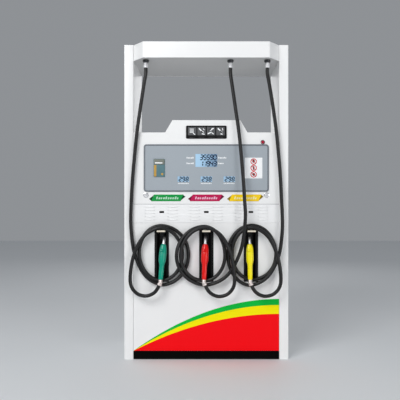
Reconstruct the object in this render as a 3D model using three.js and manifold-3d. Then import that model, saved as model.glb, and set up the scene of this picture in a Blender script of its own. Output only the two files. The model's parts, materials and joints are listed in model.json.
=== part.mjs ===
// A three-product fuel dispenser: two full-height columns carry a top beam, and between them stand
// the electronics head, the vent panel and the hydraulics cabinet with three nozzle boots.
// Millimetres, +Z up, origin on the floor at the centre of the cabinet, front face towards -Y.
import * as THREE from "three";
import { mergeVertices } from "three/addons/utils/BufferGeometryUtils.js";
import Module from "manifold-3d";

const wasm = await Module();
wasm.setup();

// ---- Driving dimensions ----
const WIDTH = 1150; // over both columns
const DEPTH = 540; // front face to rear face
const HEIGHT = 2200;
const COLUMN_WIDTH = 65;
const SHEET = 2; // folded sheet steel
const FIT = 0.5; // gap between fitted panels
const SEAT = 0.3; // gap between pieces that rest on each other
const LIP = 18; // folded edge of a panel

const PLINTH_HEIGHT = 59;
const LOWER_TOP = 955;
const HEAD_BOTTOM = 1086;
const HEAD_SHOULDER = 1588;
const HEAD_TOP = 1674;
const CROWN_HALF = 238; // half width of the raised part of the head, at its top
const CROWN_SLOPE = 50; // how far its sides run out on the way down

const BEAM_HEIGHT = 112;
const BEAM_REACH = 106; // how far the beam stands out in front of the columns
const BEAM_TAPER = 77; // how much narrower its front is, on each side

const BOOT_PITCH = 312; // distance between neighbouring nozzle boots
const BOOT_WIDTH = 100;
const BOOT_BOTTOM = 543;
const BOOT_TOP = 908;
const BOOT_RIM = 18; // width of the rim around the cavity
const BOOT_DEPTH = 120; // from the front face to the back of the cavity
const BOOT_WALL = 3;
const BOOT_PROUD = 4;

const HOSE_DIAMETER = 25;
const HOSE_SIDES = 8;
const HOSE_STEPS = 66;
const END_RADIUS = 102; // bend of the hose below the nozzle
const END_STANDOFF = 75; // nozzle swivel's distance in front of the cabinet

const PIPE_RADIUS = 13;
const PIPE_SIDES = 8;
const PIPE_CLEARANCE = 5; // around a pipe where it passes through a sheet
const PIPE_HOLE_RADIUS = PIPE_RADIUS + PIPE_CLEARANCE;
const INLET_RADIUS = 20; // product pipe coming up through the base
const NIPPLE_RADIUS = 9; // threaded end of a hose outlet, inside the beam
const NIPPLE_CLEARANCE = 1.5;
const NIPPLE_REACH = 10; // its height above the soffit

const INNER_HALF = WIDTH / 2 - COLUMN_WIDTH;
const FRONT = -DEPTH / 2;
const REAR = DEPTH / 2;
const PANEL_HALF = INNER_HALF - FIT;
const PANEL_BACK = FRONT + SHEET;
const BEAM_BOTTOM = HEIGHT - BEAM_HEIGHT;
const COLUMN_CENTRE = INNER_HALF + COLUMN_WIDTH / 2;
const BOOT_CENTRES = [-BOOT_PITCH, 0, BOOT_PITCH];
const CAVITY_HALF = BOOT_WIDTH / 2 - BOOT_RIM;
const CAVITY_BOTTOM = BOOT_BOTTOM + BOOT_RIM;
const CAVITY_TOP = BOOT_TOP - BOOT_RIM;
const CAVITY_BACK = FRONT + BOOT_DEPTH;

// Each hose: where it drops from the beam, then the extreme points of its turns on the saddle, taken
// in order from one side to the bottom, to the other side, to the top and so on, and the side that
// its last bend opens to. Points are x, distance in front of the cabinet, and height.
const HOSES = [
  {
    drop: [
      [-421, 25, 2034],
      [-421, 25, 2000],
      [-434, 25, 1920],
      [-460, 24, 1750],
      [-481, 24, 1600],
      [-499, 22, 1430],
      [-513, 21, 1270],
      [-522, 20, 1120],
    ],
    turns: [
      [-525, 19, 930],
      [-308, 19, 525],
      [-124, 19, 735],
      [-318, 19, 936],
      [-466, 30, 750],
      [-312, 34, 557],
      [-167, 28, 735],
      [-320, 48, 921],
      [-526, 56, 562],
      [-424, 66, 454],
    ],
    side: 1,
  },
  {
    drop: [
      [168, 25, 2034],
      [168, 25, 2000],
      [179, 27, 1920],
      [203, 34, 1750],
      [224, 43, 1600],
      [241, 55, 1430],
      [254, 65, 1270],
      [263, 74, 1120],
    ],
    turns: [
      [268, 80, 985],
      [8, 36, 526],
      [-205, 74, 727],
      [-14, 34, 931],
      [129, 45, 730],
      [-14, 43, 556],
      [-177, 74, 730],
      [-2, 60, 925],
      [194, 92, 562],
      [92, 86, 454],
    ],
    side: -1,
  },
  {
    drop: [
      [425, 25, 2034],
      [425, 25, 2000],
      [439, 25, 1920],
      [466, 26, 1750],
      [486, 29, 1600],
      [502, 33, 1430],
      [514, 38, 1270],
      [521, 43, 1120],
    ],
    turns: [
      [525, 50, 900],
      [306, 38, 524],
      [150, 20, 735],
      [318, 19, 938],
      [485, 19, 732],
      [322, 20, 561],
      [178, 28, 742],
      [316, 50, 924],
      [512, 82, 562],
      [410, 76, 454],
    ],
    side: -1,
  },
];
const NOZZLE_ROLLS = [4, 2, 0]; // sideways lean of each hanging nozzle, in degrees
const NOZZLE_LEAN = 9; // lean of the nozzles back into their boots
const NOZZLE_COLOURS = [0x00af91, 0xe11e19, 0xf5e619];

// ---- Helpers ----
function rad(degrees) {
  return (degrees * Math.PI) / 180;
}

// A closed geometry as a manifold-3d solid.
function solid(geometry) {
  const bare = new THREE.BufferGeometry();
  bare.setAttribute("position", geometry.getAttribute("position"));
  bare.setIndex(geometry.getIndex());
  const merged = mergeVertices(bare, 1e-3);
  return new wasm.Manifold(
    new wasm.Mesh({
      numProp: 3,
      vertProperties: new Float32Array(merged.getAttribute("position").array),
      triVerts: new Uint32Array(merged.getIndex().array),
    }),
  );
}

// A manifold-3d solid as a three.js geometry.
function surface(made) {
  const mesh = made.getMesh();
  const geometry = new THREE.BufferGeometry();
  geometry.setAttribute(
    "position",
    new THREE.BufferAttribute(new Float32Array(mesh.vertProperties), 3),
  );
  geometry.setIndex(new THREE.BufferAttribute(new Uint32Array(mesh.triVerts), 1));
  geometry.computeVertexNormals();
  return geometry;
}

function join(first, ...others) {
  return surface(others.reduce((made, next) => made.add(solid(next)), solid(first)));
}

function cut(body, ...tools) {
  return surface(tools.reduce((made, tool) => made.subtract(solid(tool)), solid(body)));
}

// A box given by its limits along each axis.
function box(x0, x1, y0, y1, z0, z1) {
  const made = new THREE.BoxGeometry(x1 - x0, y1 - y0, z1 - z0);
  return made.translate((x0 + x1) / 2, (y0 + y1) / 2, (z0 + z1) / 2);
}

// A box that is symmetric about x = 0.
function wideBox(half, y0, y1, z0, z1) {
  return box(-half, half, y0, y1, z0, z1);
}

// A round bar along x, y or z, from one coordinate on that axis to another.
function bar(axis, radius, from, to, centre, sides = 16) {
  const made = new THREE.CylinderGeometry(radius, radius, to - from, sides);
  if (axis === "x") made.rotateZ(-Math.PI / 2);
  if (axis === "z") made.rotateX(Math.PI / 2);
  const place = new THREE.Vector3(...centre);
  place[axis] = (from + to) / 2;
  return made.translate(place.x, place.y, place.z);
}

function ball(radius, centre, sides = 10) {
  const made = new THREE.SphereGeometry(radius, sides, Math.round(sides * 0.7));
  return made.translate(...centre);
}

// An outline in x and z, extruded backwards from the plane y = front.
function upright(outline, front, thickness, curveSegments = 5) {
  const made = new THREE.ExtrudeGeometry(outline, {
    depth: thickness,
    bevelEnabled: false,
    curveSegments,
  });
  return made.rotateX(Math.PI / 2).translate(0, front + thickness, 0);
}

// An outline in x and y, extruded upwards from z0 to z1.
function level(outline, z0, z1) {
  const options = { depth: z1 - z0, bevelEnabled: false, curveSegments: 2 };
  const made = new THREE.ExtrudeGeometry(outline, options);
  return made.translate(0, 0, z0);
}

function polygon(points) {
  return new THREE.Shape(points.map(([a, b]) => new THREE.Vector2(a, b)));
}

function roundedRectangle(x0, x1, z0, z1, radius) {
  const outline = new THREE.Shape();
  outline.moveTo(x0 + radius, z0);
  outline.lineTo(x1 - radius, z0);
  outline.absarc(x1 - radius, z0 + radius, radius, -Math.PI / 2, 0);
  outline.lineTo(x1, z1 - radius);
  outline.absarc(x1 - radius, z1 - radius, radius, 0, Math.PI / 2);
  outline.lineTo(x0 + radius, z1);
  outline.absarc(x0 + radius, z1 - radius, radius, Math.PI / 2, Math.PI);
  outline.lineTo(x0, z0 + radius);
  outline.absarc(x0 + radius, z0 + radius, radius, Math.PI, Math.PI * 1.5);
  return outline;
}

// A closed body through elliptical sections along z: each section is
// height, y of its centre, half width in x and half depth in y.
function loft(sections, sides) {
  const points = [];
  for (const [height, centre, halfWidth, halfDepth] of sections) {
    for (let i = 0; i < sides; i++) {
      const turn = (2 * Math.PI * i) / sides;
      points.push(halfWidth * Math.cos(turn), centre + halfDepth * Math.sin(turn), height);
    }
  }
  const faces = [];
  const last = (sections.length - 1) * sides;
  for (let ring = 0; ring < last; ring += sides) {
    for (let i = 0; i < sides; i++) {
      const next = (i + 1) % sides;
      faces.push(ring + i, ring + next, ring + sides + next);
      faces.push(ring + i, ring + sides + next, ring + sides + i);
    }
  }
  for (let i = 1; i < sides - 1; i++) {
    faces.push(0, i + 1, i);
    faces.push(last, last + i, last + i + 1);
  }
  const made = new THREE.BufferGeometry();
  made.setAttribute("position", new THREE.Float32BufferAttribute(points, 3));
  made.setIndex(faces);
  made.computeVertexNormals();
  return made;
}

// A round tube along a curve.
function tube(curve, radius, sides, steps) {
  const corners = [];
  for (let i = 0; i < sides; i++) {
    const turn = (2 * Math.PI * i) / sides;
    corners.push([radius * Math.cos(turn), radius * Math.sin(turn)]);
  }
  return new THREE.ExtrudeGeometry(polygon(corners), { extrudePath: curve, steps });
}

const dispenser = new THREE.Group();

function add(name, geometry, colour, roughness, metalness, parent = dispenser) {
  const material = new THREE.MeshStandardMaterial({ color: colour, roughness, metalness });
  const mesh = new THREE.Mesh(geometry, material);
  mesh.name = name;
  parent.add(mesh);
}

const WHITE_PAINT = [0xf1f2f3, 0.35, 0.1];
const GREY_PAINT = [0xd4d6d9, 0.45, 0.1];
const BLACK_PAINT = [0x141415, 0.5, 0.1];
const BLACK_PLASTIC = [0x171718, 0.55, 0];
const DARK_PLASTIC = [0x2a2b2d, 0.5, 0];
const RUBBER = [0x2d2d30, 0.6, 0];
const CHROME = [0xd2d2d4, 0.15, 1];
const CASTING = [0x8c8f93, 0.5, 0.9];

// ---- Route of a hose ----
// Between an extreme at the side and one at the bottom or top, a turn is a quarter of an ellipse.
function quarter(from, to, startsAtSide) {
  return [0, 30, 60].map((degrees) => {
    const [along, across] = [Math.sin(rad(degrees)), 1 - Math.cos(rad(degrees))];
    const share = degrees / 90;
    return new THREE.Vector3(
      from.x + (to.x - from.x) * (startsAtSide ? across : along),
      from.y + (to.y - from.y) * share,
      from.z + (to.z - from.z) * (startsAtSide ? along : across),
    );
  });
}

// The last bend: an arc that climbs from the lowest point towards the nozzle, then a short straight.
const END_ANGLES = [0, 22, 44, 66];
const END_STRAIGHT = 15;

function hoseRoute({ drop, turns, side }) {
  const place = ([x, standoff, z]) => new THREE.Vector3(x, FRONT - standoff, z);
  const points = drop.map(place);
  const extremes = turns.map(place);
  for (let i = 0; i + 1 < extremes.length; i++) {
    points.push(...quarter(extremes[i], extremes[i + 1], i % 2 === 0));
  }
  const lowest = extremes.at(-1);
  const endY = FRONT - END_STANDOFF;
  for (const degrees of END_ANGLES) {
    points.push(
      new THREE.Vector3(
        lowest.x + side * END_RADIUS * Math.sin(rad(degrees)),
        lowest.y + (endY - lowest.y) * (degrees / END_ANGLES.at(-1)),
        lowest.z + END_RADIUS * (1 - Math.cos(rad(degrees))),
      ),
    );
  }
  const direction = endDirection(side);
  points.push(points.at(-1).clone().addScaledVector(direction, END_STRAIGHT));
  return points;
}

function endDirection(side) {
  const angle = rad(END_ANGLES.at(-1));
  return new THREE.Vector3(side * Math.cos(angle), 0, Math.sin(angle));
}

// ---- Base and columns ----
const RAIL_HEIGHT = 50;
const RAIL_WIDTH = 40;
const FLOOR = 6;
const METER_CENTRES = BOOT_CENTRES;
const METER_Y = 60;
const DOOR_PIN_RADIUS = 4;
const DOOR_PIN_X = INNER_HALF - 16;
const DOOR_PIN_Y = REAR - 11;
const DOOR_PIN_REACH = 14; // how far a pin stands into the door's folded edge

function baseFrame() {
  const halfX = PANEL_HALF;
  const halfY = REAR - SHEET - FIT;
  const pocket = wideBox(halfX - RAIL_WIDTH, RAIL_WIDTH - halfY, halfY - RAIL_WIDTH, FLOOR, RAIL_HEIGHT + 1);
  const holeRadius = INLET_RADIUS + 2 * PIPE_CLEARANCE;
  const holes = METER_CENTRES.map((x) => bar("z", holeRadius, -1, FLOOR + 1, [x, METER_Y, 0]));
  const pinTop = PLINTH_HEIGHT + FIT + SHEET + DOOR_PIN_REACH;
  const pin = bar("z", DOOR_PIN_RADIUS, RAIL_HEIGHT - 2, pinTop, [DOOR_PIN_X, DOOR_PIN_Y, 0], 12);
  return join(cut(wideBox(halfX, -halfY, halfY, 0, RAIL_HEIGHT), pocket, ...holes), pin);
}
add("base_frame", baseFrame(), ...BLACK_PAINT);

const FRONT_PLINTH_LIP = 14;
function frontPlinth() {
  const top = PLINTH_HEIGHT - FIT;
  return join(
    wideBox(PANEL_HALF, FRONT, PANEL_BACK, 2, top),
    wideBox(PANEL_HALF, FRONT, FRONT + FRONT_PLINTH_LIP, top - SHEET, top),
  );
}
add("front_plinth", frontPlinth(), ...BLACK_PAINT);
add("rear_plinth", wideBox(PANEL_HALF, REAR - SHEET, REAR, 2, PLINTH_HEIGHT - FIT), ...BLACK_PAINT);

// Pipe run of each product: its depth, the height where it enters the column and the height
// where it crosses the beam. The outer two use the nearer column, the middle one the right.
const PIPE_RUNS = [
  { side: -1, y: 60, low: 700, high: BEAM_BOTTOM + 52 },
  { side: 1, y: 100, low: 760, high: BEAM_BOTTOM + 72 },
  { side: 1, y: 40, low: 700, high: BEAM_BOTTOM + 37 },
];

function column(side) {
  const [near, far] = [side * INNER_HALF, side * (WIDTH / 2)];
  const [x0, x1] = [Math.min(near, far), Math.max(near, far)];
  const outline = roundedRectangle(x0, x1, FRONT, REAR, 5);
  const cavity = box(x0 + SHEET, x1 - SHEET, FRONT + SHEET, REAR - SHEET, -1, HEIGHT - SHEET);
  const holes = PIPE_RUNS.filter((run) => run.side === side).flatMap(({ y, low, high }) =>
    [low, high].map((z) => {
      const from = Math.min(near - 5, near + 5);
      return bar("x", PIPE_HOLE_RADIUS, from, from + 10, [0, y, z], 12);
    }),
  );
  return cut(level(outline, 0, HEIGHT), cavity, ...holes);
}
add("left_column", column(-1), ...WHITE_PAINT);
add("right_column", column(1), ...WHITE_PAINT);

// ---- Top beam ----
function beamOutline(inset) {
  const side = PANEL_HALF - inset;
  const nose = INNER_HALF - BEAM_TAPER - inset * 0.8;
  const front = FRONT - BEAM_REACH + inset;
  return polygon([
    [-side, REAR - inset],
    [-side, FRONT - inset * 0.4],
    [-nose, front],
    [nose, front],
    [side, FRONT - inset * 0.4],
    [side, REAR - inset],
  ]);
}

function beamCover() {
  const shell = level(beamOutline(0), BEAM_BOTTOM, HEIGHT - FIT);
  const inside = level(beamOutline(SHEET), BEAM_BOTTOM - 1, HEIGHT - FIT - SHEET);
  const ports = PIPE_RUNS.map(({ side, y, high }) => {
    const from = side * PANEL_HALF - 5;
    return bar("x", PIPE_HOLE_RADIUS, from, from + 10, [0, y, high], 12);
  });
  return cut(shell, inside, ...ports);
}
add("beam_cover", beamCover(), ...WHITE_PAINT);

const SOFFIT_BOTTOM = BEAM_BOTTOM + 2;
const SOFFIT_TOP = SOFFIT_BOTTOM + SHEET;
function beamSoffit() {
  const plate = level(beamOutline(SHEET + FIT), SOFFIT_BOTTOM, SOFFIT_TOP);
  const radius = NIPPLE_RADIUS + NIPPLE_CLEARANCE;
  const holes = HOSES.map(({ drop: [[x, standoff]] }) =>
    bar("z", radius, SOFFIT_BOTTOM - 1, SOFFIT_TOP + 1, [x, FRONT - standoff, 0], 12),
  );
  return cut(plate, ...holes);
}
add("beam_soffit", beamSoffit(), ...GREY_PAINT);

// ---- Electronics head ----
function headOutline(inset) {
  const side = PANEL_HALF - inset;
  const foot = CROWN_HALF + CROWN_SLOPE - inset * 0.6;
  return [
    [-side, HEAD_BOTTOM + FIT + inset],
    [side, HEAD_BOTTOM + FIT + inset],
    [side, HEAD_SHOULDER - inset],
    [foot, HEAD_SHOULDER - inset],
    [CROWN_HALF - inset * 0.6, HEAD_TOP - inset],
    [inset * 0.6 - CROWN_HALF, HEAD_TOP - inset],
    [-foot, HEAD_SHOULDER - inset],
    [-side, HEAD_SHOULDER - inset],
  ];
}

function headCasing() {
  const front = PANEL_BACK + FIT;
  const shell = upright(polygon(headOutline(0)), front, REAR - front);
  const inside = upright(polygon(headOutline(SHEET)), front - 1, REAR - SHEET - front + 1);
  const pinBottom = HEAD_BOTTOM - FIT - SHEET - DOOR_PIN_REACH;
  const pin = bar("z", DOOR_PIN_RADIUS, pinBottom, HEAD_BOTTOM + FIT + 1, [DOOR_PIN_X, DOOR_PIN_Y, 0], 12);
  return join(cut(shell, inside), pin);
}
add("head_casing", headCasing(), ...WHITE_PAINT);

const BEZEL_MARGIN = 72; // from the column to the display's frame
const BEZEL_HALF = INNER_HALF - BEZEL_MARGIN;
const BEZEL_BOTTOM = HEAD_BOTTOM + 86;
const BEZEL_TOP = BEZEL_BOTTOM + 333;
const BEZEL_BORDER = 10;
const BEZEL_PROUD = 6;
const LOCK_X = BEZEL_HALF - BEZEL_BORDER - 6;
const LOCK_Z = HEAD_BOTTOM + 63;
const LOCK_RADIUS = 10;
const BUTTON_X = BEZEL_HALF - 43;
const BUTTON_Z = BEZEL_TOP + 15;
const BUTTON_STEM = 5.5;
const CLEARANCE = 0.8; // around a part that turns or slides in a hole

// What shows through the head: centre, half width and heights.
const SALE = { x: 0, half: 76, z0: BEZEL_BOTTOM + 175, z1: BEZEL_BOTTOM + 265 };
const PRICE_PITCH = 161;
const PRICES = [-PRICE_PITCH, 0, PRICE_PITCH].map((x) => ({
  x,
  half: 40,
  z0: BEZEL_BOTTOM + 70,
  z1: BEZEL_BOTTOM + 108,
}));
const READER_HALF = 39;
const READER = {
  x: -BEZEL_HALF + 109,
  half: READER_HALF,
  z0: BEZEL_BOTTOM + 105,
  z1: BEZEL_BOTTOM + 230,
};
const SIGHTS = [SALE, ...PRICES, READER];

function windowBlock({ x, half, z0, z1 }, y0, y1, gap) {
  return box(x - half - gap, x + half + gap, y0, y1, z0 - gap, z1 + gap);
}

function headPanel() {
  const plate = upright(polygon(headOutline(0)), FRONT, SHEET);
  const sights = SIGHTS.map((place) => windowBlock(place, FRONT - 1, PANEL_BACK + 1, FIT));
  const locks = [-LOCK_X, LOCK_X].map((x) =>
    bar("y", LOCK_RADIUS + CLEARANCE, FRONT - 1, PANEL_BACK + 1, [x, 0, LOCK_Z]),
  );
  const button = bar("y", BUTTON_STEM + CLEARANCE, FRONT - 1, PANEL_BACK + 1, [BUTTON_X, 0, BUTTON_Z]);
  return cut(plate, ...sights, ...locks, button);
}
add("head_panel", headPanel(), ...WHITE_PAINT);

function displayBezel() {
  const front = FRONT - BEZEL_PROUD;
  const rim = BEZEL_BORDER;
  const outer = roundedRectangle(-BEZEL_HALF, BEZEL_HALF, BEZEL_BOTTOM, BEZEL_TOP, 20);
  const inner = roundedRectangle(
    rim - BEZEL_HALF,
    BEZEL_HALF - rim,
    BEZEL_BOTTOM + rim,
    BEZEL_TOP - rim,
    12,
  );
  return cut(upright(outer, front, BEZEL_PROUD - SEAT), upright(inner, front - 1, BEZEL_PROUD + 2));
}
add("display_bezel", displayBezel(), 0x7b8087, 0.5, 0);

const PLATE_FRONT = FRONT - BEZEL_PROUD + 2.5;
const PLATE_THICKNESS = 2.5;

function displayPlate() {
  const inset = BEZEL_BORDER + FIT;
  const outline = roundedRectangle(
    inset - BEZEL_HALF,
    BEZEL_HALF - inset,
    BEZEL_BOTTOM + inset,
    BEZEL_TOP - inset,
    11,
  );
  const plate = upright(outline, PLATE_FRONT, PLATE_THICKNESS);
  const windows = SIGHTS.map((place) =>
    windowBlock(place, PLATE_FRONT - 1, PLATE_FRONT + PLATE_THICKNESS + 1, FIT),
  );
  return cut(plate, ...windows);
}
add("display_plate", displayPlate(), 0xa3adb7, 0.3, 0);

const MODULE_BACK = FRONT + 32;
function displayModule(place, lip) {
  const glass = windowBlock(place, PLATE_FRONT + 1, MODULE_BACK, 0);
  const board = windowBlock(place, FRONT + 12, FRONT + 15, lip);
  return join(glass, board);
}
add("sale_display", displayModule(SALE, 14), 0xa0cdeb, 0.2, 0);
PRICES.forEach((place, i) => {
  add(`price_display_${i + 1}`, displayModule(place, 10), 0xa0cdeb, 0.2, 0);
});

function cardReader() {
  const front = FRONT - BEZEL_PROUD - 3;
  const face = windowBlock(READER, front, FRONT + 45, 0);
  const slotZ = READER.z1 - 27;
  const slot = box(READER.x - 27, READER.x + 27, front - 1, front + 30, slotZ - 4, slotZ + 4);
  const pad = box(READER.x - 22, READER.x + 22, front - 1, front + 2, READER.z0 + 22, READER.z0 + 70);
  return cut(face, slot, pad);
}
add("card_reader", cardReader(), 0x5d7a80, 0.4, 0.1);

const PICTOGRAM_HALF = 142;
const PICTOGRAM_Z0 = BEZEL_TOP + 39;
const PICTOGRAM_Z1 = PICTOGRAM_Z0 + 91;
const PICTOGRAM_CELL = 58;
const PICTOGRAM_PITCH = 66;
function pictogramPanel() {
  const front = FRONT - 5;
  const outline = roundedRectangle(-PICTOGRAM_HALF, PICTOGRAM_HALF, PICTOGRAM_Z0, PICTOGRAM_Z1, 8);
  const plate = upright(outline, front, 5 - SEAT);
  const middle = (PICTOGRAM_Z0 + PICTOGRAM_Z1) / 2;
  const half = PICTOGRAM_CELL / 2;
  const cells = [-1.5, -0.5, 0.5, 1.5].map((step) => {
    const x = step * PICTOGRAM_PITCH;
    return box(x - half, x + half, front - 1, front + 1, middle - half, middle + half);
  });
  return cut(plate, ...cells);
}
add("pictogram_panel", pictogramPanel(), ...BLACK_PLASTIC);

const BUTTON_TRAVEL = 4;
function stopButton() {
  const headBack = FRONT - BUTTON_TRAVEL - 1;
  const head = bar("y", 10.5, headBack - 9, headBack, [BUTTON_X, 0, BUTTON_Z], 20);
  const stem = bar("y", BUTTON_STEM, headBack - 1, FRONT + 20, [BUTTON_X, 0, BUTTON_Z]);
  return join(head, stem);
}
add("stop_button", stopButton(), 0xb81035, 0.35, 0);

function cabinetLock(x) {
  const face = bar("y", 15, FRONT - 4, FRONT - SEAT, [x, 0, LOCK_Z], 20);
  const keyway = box(x - 1.5, x + 1.5, FRONT - 5, FRONT - 2, LOCK_Z - 5, LOCK_Z + 5);
  const barrel = bar("y", LOCK_RADIUS, FRONT - 2, FRONT + 24, [x, 0, LOCK_Z]);
  const cam = box(x - 7, x + 7, FRONT + 22, FRONT + 25, LOCK_Z - 34, LOCK_Z + 8);
  return join(cut(face, keyway), barrel, cam);
}
add("left_lock", cabinetLock(-LOCK_X), ...CHROME);
add("right_lock", cabinetLock(LOCK_X), ...CHROME);

const CONTROL_HALF = 170;
function controlBox() {
  const [z0, z1] = [HEAD_BOTTOM + 120, HEAD_BOTTOM + 380];
  const back = REAR - SHEET - SEAT;
  const body = wideBox(CONTROL_HALF, back - 130, back, z0, z1);
  const lid = wideBox(CONTROL_HALF + 6, back - 138, back - 128, z0 - 6, z1 + 6);
  const glands = [-90, -30, 30, 90].map((x) => bar("z", 12, z0 - 22, z0 + 1, [x, back - 65, 0], 10));
  return join(body, lid, ...glands);
}
add("control_box", controlBox(), 0x9aa0a5, 0.5, 0.2);

// ---- Vent panel ----
const LOUVRE_ROWS = 5;
const LOUVRE_PITCH = 22.5;
const LOUVRE_HALF = 35;
const LOUVRE_SLOT = 4;
const LOUVRE_GROUPS = [-396, -236, -79, 79, 236, 396];
const LOUVRE_LOWEST = LOWER_TOP + 20;
const KEY_SLOT_Z = LOWER_TOP + 76;

function ventPanel() {
  const [z0, z1] = [LOWER_TOP + FIT, HEAD_BOTTOM - FIT];
  const plate = join(
    wideBox(PANEL_HALF, FRONT, PANEL_BACK, z0, z1),
    wideBox(PANEL_HALF, FRONT, FRONT + LIP, z0, z0 + SHEET),
    wideBox(PANEL_HALF, FRONT, FRONT + LIP, z1 - SHEET, z1),
  );
  const slots = [];
  for (const x of LOUVRE_GROUPS) {
    for (let row = 0; row < LOUVRE_ROWS; row++) {
      const z = LOUVRE_LOWEST + row * LOUVRE_PITCH;
      const half = LOUVRE_SLOT / 2;
      slots.push(box(x - LOUVRE_HALF, x + LOUVRE_HALF, FRONT - 1, PANEL_BACK + 1, z - half, z + half));
    }
  }
  for (const x of BOOT_CENTRES) {
    slots.push(box(x - 15, x + 15, FRONT - 1, PANEL_BACK + 1, KEY_SLOT_Z - 6, KEY_SLOT_Z + 6));
  }
  return cut(plate, ...slots);
}
add("vent_panel", ventPanel(), ...WHITE_PAINT);

// ---- Lower panel and nozzle boots ----
function lowerPanel() {
  const [z0, z1] = [PLINTH_HEIGHT + FIT, LOWER_TOP - FIT];
  const plate = join(
    wideBox(PANEL_HALF, FRONT, PANEL_BACK, z0, z1),
    wideBox(PANEL_HALF, FRONT, FRONT + LIP, z0, z0 + SHEET),
    wideBox(PANEL_HALF, FRONT, FRONT + LIP, z1 - SHEET, z1),
  );
  const gap = BOOT_WALL + 1;
  const openings = BOOT_CENTRES.map((x) =>
    box(
      x - CAVITY_HALF - gap,
      x + CAVITY_HALF + gap,
      FRONT - 1,
      PANEL_BACK + 1,
      CAVITY_BOTTOM - gap,
      CAVITY_TOP + gap,
    ),
  );
  return cut(plate, ...openings);
}
add("lower_panel", lowerPanel(), ...WHITE_PAINT);

function boot(x) {
  const front = FRONT - BOOT_PROUD;
  const rim = upright(
    roundedRectangle(x - BOOT_WIDTH / 2, x + BOOT_WIDTH / 2, BOOT_BOTTOM, BOOT_TOP, 6),
    front,
    BOOT_PROUD - SEAT,
  );
  const tray = box(
    x - CAVITY_HALF - BOOT_WALL,
    x + CAVITY_HALF + BOOT_WALL,
    front + 1,
    CAVITY_BACK + BOOT_WALL,
    CAVITY_BOTTOM - BOOT_WALL,
    CAVITY_TOP + BOOT_WALL,
  );
  const cavity = box(
    x - CAVITY_HALF,
    x + CAVITY_HALF,
    front - 1,
    CAVITY_BACK,
    CAVITY_BOTTOM,
    CAVITY_TOP,
  );
  return cut(join(rim, tray), cavity);
}

const FLAP_PIVOT_Y = CAVITY_BACK - 52;
const FLAP_PIVOT_Z = CAVITY_TOP - 7;
function bootSwitch(x) {
  const half = CAVITY_HALF - 4;
  const axle = bar("x", 3, x - half, x + half, [0, FLAP_PIVOT_Y, FLAP_PIVOT_Z], 12);
  const flap = box(x - 18, x + 18, FLAP_PIVOT_Y - 1.5, FLAP_PIVOT_Y + 1.5, FLAP_PIVOT_Z - 50, FLAP_PIVOT_Z);
  return join(axle, flap);
}

// The saddle's side outline, as distance in front of the cabinet and height.
const SADDLE_HALF = 28.5;
const SADDLE_BOTTOM = BOOT_TOP - 13;
const SADDLE_REACH = 80;
function hoseSaddle(x) {
  const outline = polygon([
    [BOOT_PROUD + SEAT, SADDLE_BOTTOM],
    [SADDLE_REACH, SADDLE_BOTTOM],
    [SADDLE_REACH, SADDLE_BOTTOM + 11],
    [SADDLE_REACH - 4, SADDLE_BOTTOM + 11],
    [SADDLE_REACH - 8, SADDLE_BOTTOM + 6],
    [SADDLE_REACH - 48, SADDLE_BOTTOM + 6],
    [SADDLE_REACH - 54, SADDLE_BOTTOM + 9],
    [BOOT_PROUD + SEAT, SADDLE_BOTTOM + 9],
  ]);
  const made = new THREE.ExtrudeGeometry(outline, { depth: 2 * SADDLE_HALF, bevelEnabled: false });
  made.rotateX(Math.PI / 2).rotateZ(-Math.PI / 2);
  return made.translate(x + SADDLE_HALF, FRONT, 0);
}

// ---- Nozzles, in a frame with its origin at the swivel's ball and z along the handle ----
const BALL_RADIUS = 15;
const SLEEVE_RADIUS = 16;
const SLEEVE_LENGTH = 14;
const NOZZLE_SIDES = 16;

function nozzleBody() {
  const casting = loft(
    [
      [BALL_RADIUS + 3, 0, 14, 14],
      [28, 0, 18, 16],
      [70, 0, 19, 17],
      [112, 0, 19, 17],
      [130, 0, 22, 20],
      [141, 3, 27, 25],
      [166, 6, 28.5, 28],
      [208, 7, 28.5, 27],
      [230, 8, 25, 24],
      [250, 8, 18, 17],
      [264, 8, 14.5, 14.5],
    ],
    NOZZLE_SIDES,
  );
  const guard = polygon([
    [0, 30],
    [60, 44],
    [68, 56],
    [70, 118],
    [34, 168],
    [0, 162],
  ]);
  guard.holes.push(
    new THREE.Path(
      [
        [8, 40],
        [56, 52],
        [62, 60],
        [64, 116],
        [30, 158],
        [10, 150],
      ].map(([y, z]) => new THREE.Vector2(y, z)),
    ),
  );
  const loop = new THREE.ExtrudeGeometry(guard, { depth: 14, bevelEnabled: false });
  loop.rotateX(Math.PI / 2).rotateZ(Math.PI / 2).translate(-7, 0, 0);
  const bore = bar("z", SPOUT_RADIUS + SEAT, 244, 266, [0, 8, 0], 12);
  return cut(join(casting, loop), bore);
}

const SPOUT_RADIUS = 10.5;
function nozzleSpout() {
  const centreline = [
    [8, 245],
    [8, 258],
    [8, 272],
    [14, 294],
    [30, 311],
    [52, 321],
  ].map(([y, z]) => new THREE.Vector3(0, y, z));
  return tube(new THREE.CatmullRomCurve3(centreline, false, "centripetal"), SPOUT_RADIUS, 12, 9);
}

const LEVER_PIVOT = [0, 46, 128];
const LEVER_LENGTH = 70;
function nozzleLever() {
  const [, y, z] = LEVER_PIVOT;
  const grip = box(-10, 10, y - 2, y + 3, z - LEVER_LENGTH, z);
  const pivot = bar("x", 5, -11, 11, LEVER_PIVOT, 12);
  const toe = box(-10, 10, y - 4, y + 3, z - LEVER_LENGTH - 3, z - LEVER_LENGTH + 3);
  return join(grip, pivot, toe);
}

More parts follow.
